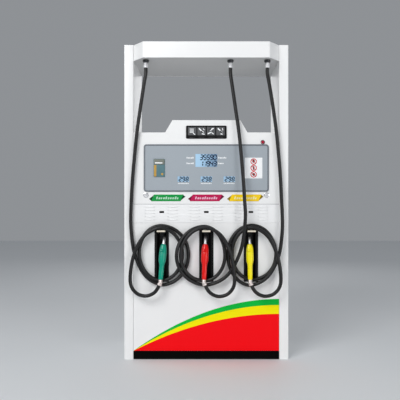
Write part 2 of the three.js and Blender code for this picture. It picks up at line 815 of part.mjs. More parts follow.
function swivel(end, side) {
  const turn = new THREE.Quaternion().setFromUnitVectors(new THREE.Vector3(0, 1, 0), endDirection(side));
  const sleeve = new THREE.CylinderGeometry(SLEEVE_RADIUS, SLEEVE_RADIUS, SLEEVE_LENGTH, NOZZLE_SIDES);
  const neck = new THREE.CylinderGeometry(9, 9, SLEEVE_LENGTH, 12);
  const middle = SEAT + SLEEVE_LENGTH / 2;
  sleeve.applyQuaternion(turn).translate(...along(end, side, middle));
  neck.applyQuaternion(turn).translate(...along(end, side, middle + 6));
  return join(sleeve, neck, ball(BALL_RADIUS, along(end, side, BALL_DISTANCE), 12));
}

const BALL_DISTANCE = 22; // from the hose's end to the middle of the ball
function along(end, side, distance) {
  return end.clone().addScaledVector(endDirection(side), distance).toArray();
}

// ---- Hose outlets under the beam ----
function hoseOutlet([x, standoff, hoseTop]) {
  const top = SOFFIT_BOTTOM - SEAT;
  const bottom = hoseTop + SEAT;
  const profile = [
    [0, bottom],
    [15, bottom],
    [16, bottom + 4],
    [16, bottom + 16],
    [13, bottom + 20],
    [13, top - 22],
    [24, top - 18],
    [26, top - 4],
    [22, top],
    [NIPPLE_RADIUS, top],
    [NIPPLE_RADIUS, SOFFIT_TOP + NIPPLE_REACH],
    [0, SOFFIT_TOP + NIPPLE_REACH],
  ].map(([r, z]) => new THREE.Vector2(r, z));
  const made = new THREE.LatheGeometry(profile, 12);
  return made.rotateX(Math.PI / 2).translate(x, FRONT - standoff, 0);
}

// ---- Hydraulics ----
const METER_BASE = 60;
function flowMeter(x) {
  const inlet = bar("z", INLET_RADIUS, 2, METER_BASE + 60, [x, METER_Y, 0]);
  const valve = box(x - 45, x + 45, METER_Y - 40, METER_Y + 40, METER_BASE + 50, METER_BASE + 120);
  const solenoid = bar("y", 22, METER_Y - 100, METER_Y - 35, [x, 0, METER_BASE + 85]);
  const filter = bar("y", 38, METER_Y + 35, METER_Y + 120, [x, 0, METER_BASE + 85]);
  const riser = bar("z", 18, METER_BASE + 115, METER_BASE + 200, [x, METER_Y, 0]);
  const meter = bar("y", 85, METER_Y - 55, METER_Y + 55, [x, 0, METER_BASE + 270], 20);
  const cover = bar("y", 60, METER_Y - 75, METER_Y + 75, [x, 0, METER_BASE + 270], 16);
  const pulser = box(x - 35, x + 35, METER_Y - 40, METER_Y + 40, METER_BASE + 340, METER_BASE + 395);
  return join(inlet, valve, solenoid, filter, riser, meter, cover, pulser);
}
const METER_TOP = METER_BASE + 395;

function riserPipe({ side, y, low, high }, meterX, [outletX, standoff]) {
  const columnX = side * COLUMN_CENTRE;
  const outletY = FRONT - standoff;
  const start = METER_TOP + SEAT;
  const end = SOFFIT_TOP + NIPPLE_REACH + SEAT;
  const elbow = (x, at, z) => ball(PIPE_RADIUS * 1.35, [x, at, z], PIPE_SIDES);
  const run = (from, to, z) => {
    const [left, right] = [Math.min(from, to), Math.max(from, to)];
    return bar("x", PIPE_RADIUS, left, right, [0, y, z], PIPE_SIDES);
  };
  const pieces = [
    bar("z", PIPE_RADIUS, start, low, [meterX, METER_Y, 0], PIPE_SIDES),
    elbow(meterX, METER_Y, low),
    elbow(meterX, y, low),
    run(meterX, columnX, low),
    elbow(columnX, y, low),
    bar("z", PIPE_RADIUS, low, high, [columnX, y, 0], PIPE_SIDES),
    elbow(columnX, y, high),
    run(outletX, columnX, high),
    elbow(outletX, y, high),
    bar("y", PIPE_RADIUS, outletY, y, [outletX, 0, high], PIPE_SIDES),
    elbow(outletX, outletY, high),
    bar("z", PIPE_RADIUS, end, high, [outletX, outletY, 0], PIPE_SIDES),
  ];
  if (y !== METER_Y) {
    const [near, far] = [Math.min(y, METER_Y), Math.max(y, METER_Y)];
    pieces.push(bar("y", PIPE_RADIUS, near, far, [meterX, 0, low], PIPE_SIDES));
  }
  return join(...pieces);
}

// ---- One product after another: boot, saddle, hose, nozzle, meter and pipe ----
BOOT_CENTRES.forEach((x, i) => {
  const number = i + 1;
  const hose = HOSES[i];
  const points = hoseRoute(hose);
  const end = points.at(-1);
  add(`boot_${number}`, boot(x), ...BLACK_PLASTIC);
  add(`boot_switch_${number}`, bootSwitch(x), ...DARK_PLASTIC);
  add(`hose_saddle_${number}`, hoseSaddle(x), 0xe6dccb, 0.35, 0.3);
  const curve = new THREE.CatmullRomCurve3(points, false, "centripetal");
  curve.arcLengthDivisions = 1200;
  add(`hose_${number}`, tube(curve, HOSE_DIAMETER / 2, HOSE_SIDES, HOSE_STEPS), ...RUBBER);
  add(`hose_outlet_${number}`, hoseOutlet(hose.drop[0]), ...CHROME);
  add(`nozzle_swivel_${number}`, swivel(end, hose.side), 0xd7cdcd, 0.25, 0.9);

  const nozzle = new THREE.Group();
  nozzle.position.set(...along(end, hose.side, BALL_DISTANCE));
  nozzle.rotation.set(-rad(NOZZLE_LEAN), rad(NOZZLE_ROLLS[i]), 0);
  add(`nozzle_body_${number}`, nozzleBody(), NOZZLE_COLOURS[i], 0.35, 0, nozzle);
  add(`nozzle_spout_${number}`, nozzleSpout(), ...CHROME, nozzle);
  add(`nozzle_lever_${number}`, nozzleLever(), ...DARK_PLASTIC, nozzle);
  dispenser.add(nozzle);

  add(`flow_meter_${number}`, flowMeter(METER_CENTRES[i]), ...CASTING);
  add(`riser_pipe_${number}`, riserPipe(PIPE_RUNS[i], METER_CENTRES[i], hose.drop[0]), ...CASTING);
});

// ---- Rear door ----
const DOOR_FOLD = 22;
const DOOR_SIDE = PANEL_HALF - 4.5;
const HANDLE_X = -DOOR_SIDE + 55;
const HANDLE_Z = (PLINTH_HEIGHT + HEAD_BOTTOM) / 2;
const HANDLE_STEM = 6;
function rearDoor() {
  const [z0, z1] = [PLINTH_HEIGHT + FIT, HEAD_BOTTOM - FIT];
  const block = wideBox(DOOR_SIDE, REAR - DOOR_FOLD, REAR, z0, z1);
  const hollow = wideBox(
    DOOR_SIDE - SHEET,
    REAR - DOOR_FOLD - 1,
    REAR - SHEET,
    z0 + SHEET,
    z1 - SHEET,
  );
  const pinHole = DOOR_PIN_RADIUS + CLEARANCE;
  const holes = [
    bar("z", pinHole, z0 - 1, z0 + SHEET + 1, [DOOR_PIN_X, DOOR_PIN_Y, 0], 12),
    bar("z", pinHole, z1 - SHEET - 1, z1 + 1, [DOOR_PIN_X, DOOR_PIN_Y, 0], 12),
    bar("y", HANDLE_STEM + CLEARANCE, REAR - SHEET - 1, REAR + 1, [HANDLE_X, 0, HANDLE_Z]),
  ];
  return cut(block, hollow, ...holes);
}
add("rear_door", rearDoor(), ...WHITE_PAINT);

function doorHandle() {
  const stem = bar("y", HANDLE_STEM, REAR - 20, REAR + 22, [HANDLE_X, 0, HANDLE_Z]);
  const rose = bar("y", 18, REAR + SEAT, REAR + 6, [HANDLE_X, 0, HANDLE_Z], 20);
  const grip = bar("z", 8, HANDLE_Z - 45, HANDLE_Z + 45, [HANDLE_X, REAR + 24, 0]);
  const cam = box(HANDLE_X - 10, HANDLE_X + 10, REAR - 22, REAR - 18, HANDLE_Z - 45, HANDLE_Z + 12);
  return join(stem, rose, grip, cam);
}
add("door_handle", doorHandle(), ...CHROME);

export default dispenser;
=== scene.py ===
# %% [markdown]
# # A fuel dispenser with three hanging hoses
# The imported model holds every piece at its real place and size. This script loads it as a fixed
# frame and gives each piece its final surface and finish, so nothing here decides a dimension:
# places come from the frame's own boxes. All lengths are in metres, +Z is up, and the displays
# and nozzles face -Y.

# %% Load the frame
import json
import math

import bmesh
import bpy
import numpy as np
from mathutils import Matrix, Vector

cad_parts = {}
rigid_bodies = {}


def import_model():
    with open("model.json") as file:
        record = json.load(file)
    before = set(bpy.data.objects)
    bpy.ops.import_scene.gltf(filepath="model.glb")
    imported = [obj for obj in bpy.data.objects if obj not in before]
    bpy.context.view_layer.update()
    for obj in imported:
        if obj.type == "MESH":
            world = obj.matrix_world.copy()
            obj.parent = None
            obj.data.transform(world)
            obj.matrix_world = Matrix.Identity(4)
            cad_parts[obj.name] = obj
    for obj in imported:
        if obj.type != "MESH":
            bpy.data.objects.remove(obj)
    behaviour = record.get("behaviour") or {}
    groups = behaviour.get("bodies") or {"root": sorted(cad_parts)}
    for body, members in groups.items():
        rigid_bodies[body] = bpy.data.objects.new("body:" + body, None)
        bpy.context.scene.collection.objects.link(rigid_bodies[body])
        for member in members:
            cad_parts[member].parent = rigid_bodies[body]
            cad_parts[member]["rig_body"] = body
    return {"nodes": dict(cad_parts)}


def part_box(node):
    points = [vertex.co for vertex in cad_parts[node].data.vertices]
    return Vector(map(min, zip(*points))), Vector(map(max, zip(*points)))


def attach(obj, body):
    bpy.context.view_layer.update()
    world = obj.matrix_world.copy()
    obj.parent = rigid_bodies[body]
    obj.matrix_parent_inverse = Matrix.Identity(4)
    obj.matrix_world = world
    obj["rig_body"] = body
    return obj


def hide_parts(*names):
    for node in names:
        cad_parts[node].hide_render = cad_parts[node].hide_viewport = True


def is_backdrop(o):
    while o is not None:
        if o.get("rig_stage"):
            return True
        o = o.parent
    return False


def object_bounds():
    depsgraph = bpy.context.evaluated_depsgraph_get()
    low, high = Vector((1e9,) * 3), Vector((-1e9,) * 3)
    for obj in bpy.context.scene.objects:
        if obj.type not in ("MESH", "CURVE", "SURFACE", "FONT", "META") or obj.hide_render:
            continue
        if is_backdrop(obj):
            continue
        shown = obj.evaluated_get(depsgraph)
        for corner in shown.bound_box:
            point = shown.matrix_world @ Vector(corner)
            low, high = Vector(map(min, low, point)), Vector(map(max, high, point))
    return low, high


MM = 0.001
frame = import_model()
cad_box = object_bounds()

# %% [markdown]
# ## Camera
# A dispenser is usually shown square from the front, at chest height, so its uprights stay
# parallel and the underside of the beam just shows. A moderate lens some four metres away does
# that, held level: tilting it up would make the uprights lean together. The small shifts centre
# the dispenser without turning the camera.

# %% Camera at chest height, held level
scene = bpy.context.scene
camera_data = bpy.data.cameras.new("camera")
camera_data.lens = 53.4
camera_data.sensor_width = 36.0
camera_data.shift_x = -0.0158
camera_data.shift_y = -0.0075
camera = bpy.data.objects.new("camera", camera_data)
camera.location = (0.0, -4.424, 1.136)
camera.rotation_euler = (math.radians(90), 0, 0)
scene.collection.objects.link(camera)
scene.camera = camera
print("camera", round(-camera.location.y + cad_box[0].y, 2), "m in front of the beam")

# %% [markdown]
# ## Surfaces from arrays
# Nearly every piece is one of four shapes: an outline lofted through a few rows, a profile turned
# about an axis, a section carried along a path, or a flat plate with rounded edges. All of them
# end as a grid of points, so one function makes the quads between neighbouring rows and columns,
# and another puts the patches of a piece into a single mesh.


# %% Grids, lofts and meshes
def grid(points, close_rows=False, close_columns=True):
    """Quads between neighbouring rows and columns of a (rows, columns, 3) array of points."""
    rows, columns = points.shape[:2]
    number = np.arange(rows * columns).reshape(rows, columns)
    if close_rows:
        number = np.vstack([number, number[:1]])
    if close_columns:
        number = np.hstack([number, number[:, :1]])
    corners = [number[:-1, :-1], number[:-1, 1:], number[1:, 1:], number[1:, :-1]]
    return points.reshape(-1, 3), np.stack(corners, -1).reshape(-1, 4).tolist()


def loft(rows):
    """A closed body: rings of points joined one to the next, with a flat face over each end."""
    rows = np.asarray(rows)
    points, faces = grid(rows)
    last = np.arange(rows.shape[1]) + len(points) - rows.shape[1]
    return points, faces + [list(range(rows.shape[1])), last.tolist()]


def piece(name, patches, body, finish, replaces=(), smooth=35):
    """One mesh object from patches of (points, faces), riding on a body of the frame."""
    points, faces, start = [], [], 0
    for patch_points, patch_faces in patches:
        points.append(np.asarray(patch_points, float))
        faces += [[start + i for i in face] for face in patch_faces]
        start += len(patch_points)
    mesh = bpy.data.meshes.new(name)
    mesh.from_pydata(np.vstack(points).tolist(), [], faces)
    return settle(name, mesh, body, finish, replaces, smooth)


def settle(name, mesh, body, finish, replaces, smooth):
    """Merges a mesh's doubles, turns its faces outwards, shades it and hands it to its body."""
    tidy = bmesh.new()
    tidy.from_mesh(mesh)
    bmesh.ops.remove_doubles(tidy, verts=tidy.verts, dist=1e-6)
    bmesh.ops.recalc_face_normals(tidy, faces=tidy.faces)
    tidy.to_mesh(mesh)
    tidy.free()
    mesh.polygons.foreach_set("use_smooth", np.ones(len(mesh.polygons), bool))
    mesh.set_sharp_from_angle(angle=math.radians(smooth))
    mesh.materials.append(finish)
    made = bpy.data.objects.new(name, mesh)
    scene.collection.objects.link(made)
    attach(made, body)
    if replaces:
        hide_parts(*replaces)
    return made


def soften(made, radius, segments=2):
    """Rounds the hard edges of a piece with a small bevel."""
    bevel = made.modifiers.new("rounded edges", "BEVEL")
    bevel.width = radius
    bevel.segments = segments
    bevel.limit_method = "ANGLE"
    bevel.angle_limit = math.radians(30)
    bevel.harden_normals = True
    return made


# %% Outlines
def rounded_rectangle(x0, x1, z0, z1, radius, steps=6):
    """Anticlockwise outline in x and z: four quarter circles joined by the straight sides."""
    turn = np.linspace(0, np.pi / 2, steps + 1)
    centres = [(x1, z1, -1, -1), (x0, z1, 1, -1), (x0, z0, 1, 1), (x1, z0, -1, 1)]
    corners = []
    for quarter, (x, z, sx, sz) in enumerate(centres):
        angle = turn + quarter * np.pi / 2
        middle = np.array([x + sx * radius, z + sz * radius])
        corners.append(middle + radius * np.column_stack([np.cos(angle), np.sin(angle)]))
    return np.vstack(corners)


def rounded(corners, cut, steps=5):
    """Rounds each corner of an outline: (1-u)^2 A + 2u(1-u) P + u^2 B, where A and B lie the cut
    length away from corner P along its two sides."""
    corners = np.asarray(corners, float)
    back, ahead = np.roll(corners, 1, 0) - corners, np.roll(corners, -1, 0) - corners
    a = corners + cut * back / np.linalg.norm(back, axis=1, keepdims=True)
    b = corners + cut * ahead / np.linalg.norm(ahead, axis=1, keepdims=True)
    u = np.linspace(0, 1, steps + 1)[None, :, None]
    a, p, b = a[:, None], corners[:, None], b[:, None]
    return ((1 - u) ** 2 * a + 2 * u * (1 - u) * p + u**2 * b).reshape(-1, 2)


def inset(outline, distance):
    """Moves each side of a closed anticlockwise outline inwards by the same distance."""
    ahead = np.roll(outline, -1, 0) - outline
    ahead /= np.linalg.norm(ahead, axis=1, keepdims=True)
    normal = np.column_stack([-ahead[:, 1], ahead[:, 0]])
    both = normal + np.roll(normal, 1, 0)
    return outline + distance * 2 * both / (both * both).sum(1, keepdims=True)


# %% Plates and rings
def upright(outline, y):
    """An outline in x and z placed at one depth."""
    return np.insert(outline, 1, y, axis=1)


def level(outline, z):
    """An outline in x and y placed at one height."""
    return np.insert(outline, 2, z, axis=1)


def plate(outline, front, back, edge, steps=3):
    """A flat plate whose front edge is a quarter circle: inset r(1 - cos t), depth r(1 - sin t)."""
    turn = np.linspace(0, np.pi / 2, steps + 1)
    rows = [upright(outline, back)]
    for t in turn:
        rows.append(upright(inset(outline, edge * (1 - np.cos(t))), front + edge * (1 - np.sin(t))))
    return loft(rows)


def ring(outer, inner, front, back, edge, steps=3):
    """A flat frame between two outlines of the same count, both front edges quarter circles."""
    turn = np.linspace(0, np.pi / 2, steps + 1)
    rows = [upright(outer, back)]
    for t in turn:
        rows.append(upright(inset(outer, edge * (1 - np.cos(t))), front + edge * (1 - np.sin(t))))
    for t in turn[::-1]:
        rows.append(upright(inset(inner, -edge * (1 - np.cos(t))), front + edge * (1 - np.sin(t))))
    rows.append(upright(inner, back))
    return grid(np.asarray(rows), close_rows=True)


# %% Turned and carried shapes
def circle(radius, count=24):
    """Points of a circle, anticlockwise."""
    turn = np.arange(count) * 2 * np.pi / count
    return radius * np.column_stack([np.cos(turn), np.sin(turn)])


def turned(profile, centre, axis, count=32):
    """A profile of (radius, distance) turned about an axis: centre + distance a + radius (n, b)."""
    axis = np.asarray(axis, float) / np.linalg.norm(axis)
    across = np.cross(axis, [0, 0, 1] if abs(axis[2]) < 0.9 else [1, 0, 0])
    across /= np.linalg.norm(across)
    around = circle(1, count)
    spokes = around[:, :1] * across + around[:, 1:] * np.cross(axis, across)
    profile = np.asarray(profile, float)
    rows = np.asarray(centre) + profile[:, 1, None, None] * axis + profile[:, 0, None, None] * spokes
    return loft(rows)


def carried(path, section, reference, scale=1.0):
    """A section carried along a path: point = path + a N + b (T x N), N the reference turned square
    to the path's direction T."""
    path = np.asarray(path, float)
    ahead = np.gradient(path, axis=0)
    ahead /= np.linalg.norm(ahead, axis=1, keepdims=True)
    reference = np.asarray(reference, float)
    normal = reference - (ahead @ reference)[:, None] * ahead
    normal /= np.linalg.norm(normal, axis=1, keepdims=True)
    side = np.cross(ahead, normal)
    scale = np.broadcast_to(scale, len(path))[:, None, None]
    spread = section[:, 0, None] * normal[:, None] + section[:, 1, None] * side[:, None]
    return loft(path[:, None] + scale * spread)


# %% A smooth curve through points
def curve_through(points, per_span=10):
    """A smooth curve through the points: centripetal Catmull-Rom, whose tangent at each point
    weighs its two neighbours by the square root of their distance."""
    points = np.asarray(points, float)
    points = np.vstack([2 * points[:1] - points[1:2], points, 2 * points[-1:] - points[-2:-1]])
    gap = np.sqrt(np.linalg.norm(np.diff(points, axis=0), axis=1))[:, None]
    before, start, end, after = points[:-3], points[1:-2], points[2:-1], points[3:]
    d0, d1, d2 = gap[:-2], gap[1:-1], gap[2:]
    out = ((start - before) / d0 - (end - before) / (d0 + d1) + (end - start) / d1) * d1
    back = ((end - start) / d1 - (after - start) / (d1 + d2) + (after - end) / d2) * d1
    t = np.linspace(0, 1, per_span, endpoint=False)[None, :, None]
    start, end, out, back = (a[:, None] for a in (start, end, out, back))
    cubic = 2 * start - 2 * end + out + back
    square = 3 * end - 3 * start - 2 * out - back
    made = start + out * t + square * t**2 + cubic * t**3
    return np.vstack([made.reshape(-1, 3), points[-2:-1]])


# %% [markdown]
# ## Colours and nodes
# Paint charts and screens give colours in sRGB, but a shader adds light linearly, so one function
# turns a hex value into linear numbers. Each finish is a small node tree, and one function adds a
# node with its settings and links.


# %% A colour, a node, a finish
def linear(colour):
    """sRGB hex to linear red, green, blue and alpha: c / 12.92 or ((c + 0.055) / 1.055) ** 2.4."""
    c = np.array([int(colour[i : i + 2], 16) for i in (1, 3, 5)]) / 255
    return (*np.where(c <= 0.04045, c / 12.92, ((c + 0.055) / 1.055) ** 2.4), 1.0)


def add(tree, kind, inputs=(), **settings):
    """Adds a shader node. Inputs give a socket a value, or the output it is linked to."""
    made = tree.nodes.new("ShaderNode" + kind)
    for name, value in settings.items():
        setattr(made, name, value)
    for socket, value in dict(inputs).items():
        if isinstance(value, bpy.types.NodeSocket):
            tree.links.new(value, made.inputs[socket])
        else:
            made.inputs[socket].default_value = value
    return made


def finish_of(name, colour, other, grain, roughness, relief=0.0, relief_size=None, **surface):
    """A finish whose colour drifts between two near tones over patches of one size, whose
    roughness drifts with it, and whose surface has a fine relief. Sizes and relief in metres."""
    made = bpy.data.materials.new(name)
    made.use_nodes = True
    tree = made.node_tree
    shader = tree.nodes["Principled BSDF"]
    place = add(tree, "TexCoord").outputs["Object"]
    drift = add(tree, "TexNoise", {"Vector": place, "Scale": 1 / grain, "Detail": 4.0})
    tones = add(tree, "Mix", {0: drift.outputs[0], 6: linear(colour), 7: linear(other)}, data_type="RGBA")
    tree.links.new(tones.outputs[2], shader.inputs["Base Color"])
    gloss = add(tree, "MapRange", {0: drift.outputs[0], 1: 0.3, 2: 0.7, 3: roughness[0], 4: roughness[1]})
    tree.links.new(gloss.outputs[0], shader.inputs["Roughness"])
    if relief:
        size = relief_size or grain
        peel = add(tree, "TexNoise", {"Vector": place, "Scale": 1 / size, "Detail": 2.0})
        bump = add(tree, "Bump", {"Height": peel.outputs[0], "Distance": relief, "Strength": 1.0})
        tree.links.new(bump.outputs[0], shader.inputs["Normal"])
    for socket, value in surface.items():
        shader.inputs[socket.replace("_", " ")].default_value = value
    return made


# %% [markdown]
# ## Hoses
# A dispenser hose is smooth black rubber over a braid, 25 mm across, fairly stiff, and here just
# over four metres long: it drops from a swivel under the beam, lies in two loops over the saddle
# at the top of its boot, and bends up into the nozzle. A simulation would let it find its own
# loops, but the loops must pass exactly over the saddles, so the route is laid through the
# extreme points of each turn, with a quarter of an ellipse between one and the next.

# %% Routes of the hoses
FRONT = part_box("lower_panel")[0].y
HOSE_DIAMETER = 25 * MM
END_RADIUS, END_STANDOFF, END_STRAIGHT = 102 * MM, 75 * MM, 15 * MM
END_ANGLES = np.radians([0, 22, 44, 66])

# Each row is x, distance in front of the cabinet, and height, in millimetres.
DROPS = [
    [(-421, 25, 2034), (-421, 25, 2000), (-434, 25, 1920), (-460, 24, 1750)]
    + [(-481, 24, 1600), (-499, 22, 1430), (-513, 21, 1270), (-522, 20, 1120)],
    [(168, 25, 2034), (168, 25, 2000), (179, 27, 1920), (203, 34, 1750)]
    + [(224, 43, 1600), (241, 55, 1430), (254, 65, 1270), (263, 74, 1120)],
    [(425, 25, 2034), (425, 25, 2000), (439, 25, 1920), (466, 26, 1750)]
    + [(486, 29, 1600), (502, 33, 1430), (514, 38, 1270), (521, 43, 1120)],
]
TURNS = [
    [(-525, 19, 930), (-308, 19, 525), (-124, 19, 735), (-318, 19, 936), (-466, 30, 750)]
    + [(-312, 34, 557), (-167, 28, 735), (-320, 48, 921), (-526, 56, 562), (-424, 66, 454)],
    [(268, 80, 985), (8, 36, 526), (-205, 74, 727), (-14, 34, 931), (129, 45, 730)]
    + [(-14, 43, 556), (-177, 74, 730), (-2, 60, 925), (194, 92, 562), (92, 86, 454)],
    [(525, 50, 900), (306, 38, 524), (150, 20, 735), (318, 19, 938), (485, 19, 732)]
    + [(322, 20, 561), (178, 28, 742), (316, 50, 924), (512, 82, 562), (410, 76, 454)],
]
END_SIDES = [1, -1, -1]


def place_of(rows):
    """Rows of x, distance in front of the cabinet and height, in millimetres, as points in metres."""
    x, standoff, z = np.array(rows, float).T * MM
    return np.column_stack([x, FRONT - standoff, z])


def hose_route(drop, turns, side):
    """The points a hose passes: its drop, quarter ellipses between extremes, and the end bend."""
    extremes = place_of(turns)
    angle = np.radians([0, 30, 60])
    along, across = np.sin(angle), 1 - np.cos(angle)
    parts = [place_of(drop)]
    for i, (start, end) in enumerate(zip(extremes[:-1], extremes[1:])):
        in_x, in_z = (across, along) if i % 2 == 0 else (along, across)
        share = np.column_stack([in_x, angle / (np.pi / 2), in_z])
        parts.append(start + (end - start) * share)
    lowest = extremes[-1]
    parts.append(
        np.column_stack(
            [
                lowest[0] + side * END_RADIUS * np.sin(END_ANGLES),
                lowest[1] + (FRONT - END_STANDOFF - lowest[1]) * END_ANGLES / END_ANGLES[-1],
                lowest[2] + END_RADIUS * (1 - np.cos(END_ANGLES)),
            ]
        )
    )
    parts.append(parts[-1][-1:] + END_STRAIGHT * end_direction(side))
    return np.vstack(parts)


def end_direction(side):
    """The way a hose points where it enters its nozzle swivel."""
    return np.array([side * math.cos(END_ANGLES[-1]), 0, math.sin(END_ANGLES[-1])])


routes = [curve_through(hose_route(*parts)) for parts in zip(DROPS, TURNS, END_SIDES)]
for route in routes:
    print("hose route", round(float(np.linalg.norm(np.diff(route, axis=0), axis=1).sum()), 3), "m")

# %% [markdown]
# The cover is extruded and then cured under a wrapped fabric tape, which leaves a faint cross
# weave in it. The weave has to follow the hose, so it is drawn on the hose's own UV map: u once
# around, v along its length in metres. Its threads are about 1.2 mm apart; they are drawn 2.5 mm
# apart here, so that they show.

# %% Rubber hose finish
rubber = bpy.data.materials.new("nitrile_rubber_hose_cover_wrapped_cure")
rubber.use_nodes = True
tree = rubber.node_tree
shader = tree.nodes["Principled BSDF"]
own_map = add(tree, "UVMap", uv_map="along_hose").outputs[0]
place = add(tree, "TexCoord").outputs["Object"]
THREAD = 2.5 * MM
weave_place = add(
    tree, "Mapping", {"Vector": own_map, "Scale": (math.pi * HOSE_DIAMETER / THREAD, 1 / THREAD, 1)}
)
weave = add(tree, "TexChecker", {"Vector": weave_place.outputs[0], "Scale": 1.0})
dust = add(tree, "TexNoise", {"Vector": place, "Scale": 9.0, "Detail": 5.0})
tone = add(
    tree, "Mix", {0: dust.outputs[0], 6: linear("#08080a"), 7: linear("#131213")}, data_type="RGBA"
)
sheen = add(tree, "MapRange", {0: dust.outputs[0], 1: 0.3, 2: 0.7, 3: 0.34, 4: 0.46})
cloth = add(tree, "Bump", {"Height": weave.outputs[1], "Distance": 0.05 * MM, "Strength": 0.6})
tree.links.new(tone.outputs[2], shader.inputs["Base Color"])
tree.links.new(sheen.outputs[0], shader.inputs["Roughness"])
tree.links.new(cloth.outputs[0], shader.inputs["Normal"])
shader.inputs["IOR"].default_value = 1.47
print(rubber.name, "with threads", THREAD / MM, "mm apart")

# %% The three hoses
HOSE_SIDES = 20
for number, route in enumerate(routes, 1):
    points, faces = carried(route, circle(HOSE_DIAMETER / 2, HOSE_SIDES), (0, 1, 0))
    hose = piece(
        f"rubber_hose_{number}", [(points, faces)], "cabinet", rubber, [f"hose_{number}"]
    )
    travelled = np.concatenate([[0], np.linalg.norm(np.diff(route, axis=0), axis=1).cumsum()])
    mesh = hose.data
    owner = np.zeros(len(mesh.loops), int)
    mesh.loops.foreach_get("vertex_index", owner)
    row, column = owner // HOSE_SIDES, owner % HOSE_SIDES
    starts = np.array([p.loop_start for p in mesh.polygons])
    sizes = np.array([p.loop_total for p in mesh.polygons])
    wraps = np.repeat(np.maximum.reduceat(column, starts), sizes) == HOSE_SIDES - 1
    around = np.where((column == 0) & wraps, HOSE_SIDES, column) / HOSE_SIDES
    layer = mesh.uv_layers.new(name="along_hose")
    layer.data.foreach_set("uv", np.column_stack([around, travelled[row]]).astype(np.float32).ravel())
    print(hose.name, len(mesh.polygons), "faces")

# %% [markdown]
# ## Sheet metal
# The columns, the beam, the head and the panels are 2 mm steel, folded, then sprayed and baked.
# Baked enamel has a soft gloss and a faint orange peel, about 2 mm from crest to crest. Their
# shapes are right in the frame already, so each is a merged copy with its edges rounded: a folded
# edge is never sharp, and the thin line of light along it is what makes a sheet look like metal.


# %% Softened copies of the frame's sheets
def softened(node, radius, finish, name=None, segments=2, smooth=35):
    """A copy of a node with its doubles merged. With a radius, its flat triangles are joined first
    and its edges rounded."""
    mesh = frame["nodes"][node].data.copy()
    mesh.materials.clear()
    flat = bmesh.new()
    flat.from_mesh(mesh)
    bmesh.ops.remove_doubles(flat, verts=flat.verts, dist=1e-5)
    if radius:
        bmesh.ops.dissolve_limit(flat, angle_limit=math.radians(0.5), verts=flat.verts, edges=flat.edges)
    flat.to_mesh(mesh)
    flat.free()
    body = frame["nodes"][node]["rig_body"]
    made = settle(name or f"{node}_finished", mesh, body, finish, [node], smooth)
    return soften(made, radius, segments) if radius else made


white_enamel = finish_of(
    "baked_enamel_white_sprayed", "#f5f5f5", "#f8f8f7", 0.5, (0.3, 0.34), 0.006 * MM, 2 * MM, Coat_Weight=0.15
)
vent_enamel = finish_of(
    "baked_enamel_light_grey_sprayed", "#f8f8f8", "#fafafa", 0.4, (0.32, 0.37), 0.006 * MM, 2 * MM
)
# The underside is painted grey, darker than the white sheets: painted shade under the beam.
soffit_painted_shade = finish_of(
    "baked_enamel_underside_painted_shade", "#cbcbcb", "#d2d1d0", 0.3, (0.4, 0.5), 0.006 * MM, 2 * MM
)
black_enamel = finish_of(
    "black_enamel_kick_strip", "#020202", "#070706", 0.25, (0.5, 0.6), 0.01 * MM, 2.5 * MM,
    Specular_IOR_Level=0.05,
)
softened("left_column", 1.2 * MM, white_enamel, smooth=50)
softened("right_column", 1.2 * MM, white_enamel, smooth=50)
softened("head_panel", 0.7 * MM, white_enamel)
softened("head_casing", 0.7 * MM, white_enamel)
softened("vent_panel", 0, vent_enamel)
softened("rear_door", 0.8 * MM, white_enamel)
for node in ("base_frame", "front_plinth", "rear_plinth"):
    softened(node, 0.7 * MM, black_enamel)
print("columns, head, vent panel, door, pan and two plinths")

# %% [markdown]
# ## Top beam
# The beam's cover is one folded tray, open below, whose ends are drawn in towards the front. Its
# long edges are seen against the sky, so it is lofted instead of copied: the outline, with its
# corners rounded, climbs from the folded lip to the top and turns over in a quarter circle.

# %% Beam cover and soffit
beam_low, beam_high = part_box("beam_cover")
soffit_low, soffit_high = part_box("beam_soffit")
BEAM_TAPER, SHEET, FIT = 77 * MM, 2 * MM, 0.5 * MM
BEAM_EDGE = 5 * MM


def beam_outline(distance):
    """The beam from above, anticlockwise from its rear right corner, moved inwards."""
    nose = beam_high.x + FIT - BEAM_TAPER
    corners = [
        (beam_high.x, beam_high.y), (beam_low.x, beam_high.y), (beam_low.x, FRONT),
        (-nose, beam_low.y), (nose, beam_low.y), (beam_high.x, FRONT),
    ]
    return inset(rounded(corners, 8 * MM), distance)


bend = np.linspace(0, np.pi / 2, 5)
rows = [level(beam_outline(SHEET), beam_low.z + 3 * SHEET), level(beam_outline(SHEET), beam_low.z)]
rows += [level(beam_outline(0), beam_low.z + FIT)]
rows += [
    level(beam_outline(BEAM_EDGE * (1 - np.cos(t))), beam_high.z - BEAM_EDGE * (1 - np.sin(t))) for t in bend
]
piece("beam_shell", [loft(rows)], "cabinet", white_enamel, ["beam_cover"])
rows = [level(beam_outline(SHEET + FIT), z) for z in (soffit_low.z, soffit_high.z)]
piece("soffit_sheet", [loft(rows)], "cabinet", soffit_painted_shade, ["beam_soffit"])
print("beam", round((beam_high.z - beam_low.z) / MM), "mm deep")

# %% [markdown]
# ## Printed lower panel
# A vinyl print is stuck over the foot of the lower panel: a red field under a yellow and a green
# band, all rising to the right along one curve. Each edge is the same parabola at another height,
# so the height above the floor strip divided by the parabola says which colour a point has, and a
# stepped ramp paints it, on the outside only. Vinyl is a little glossier than the enamel.

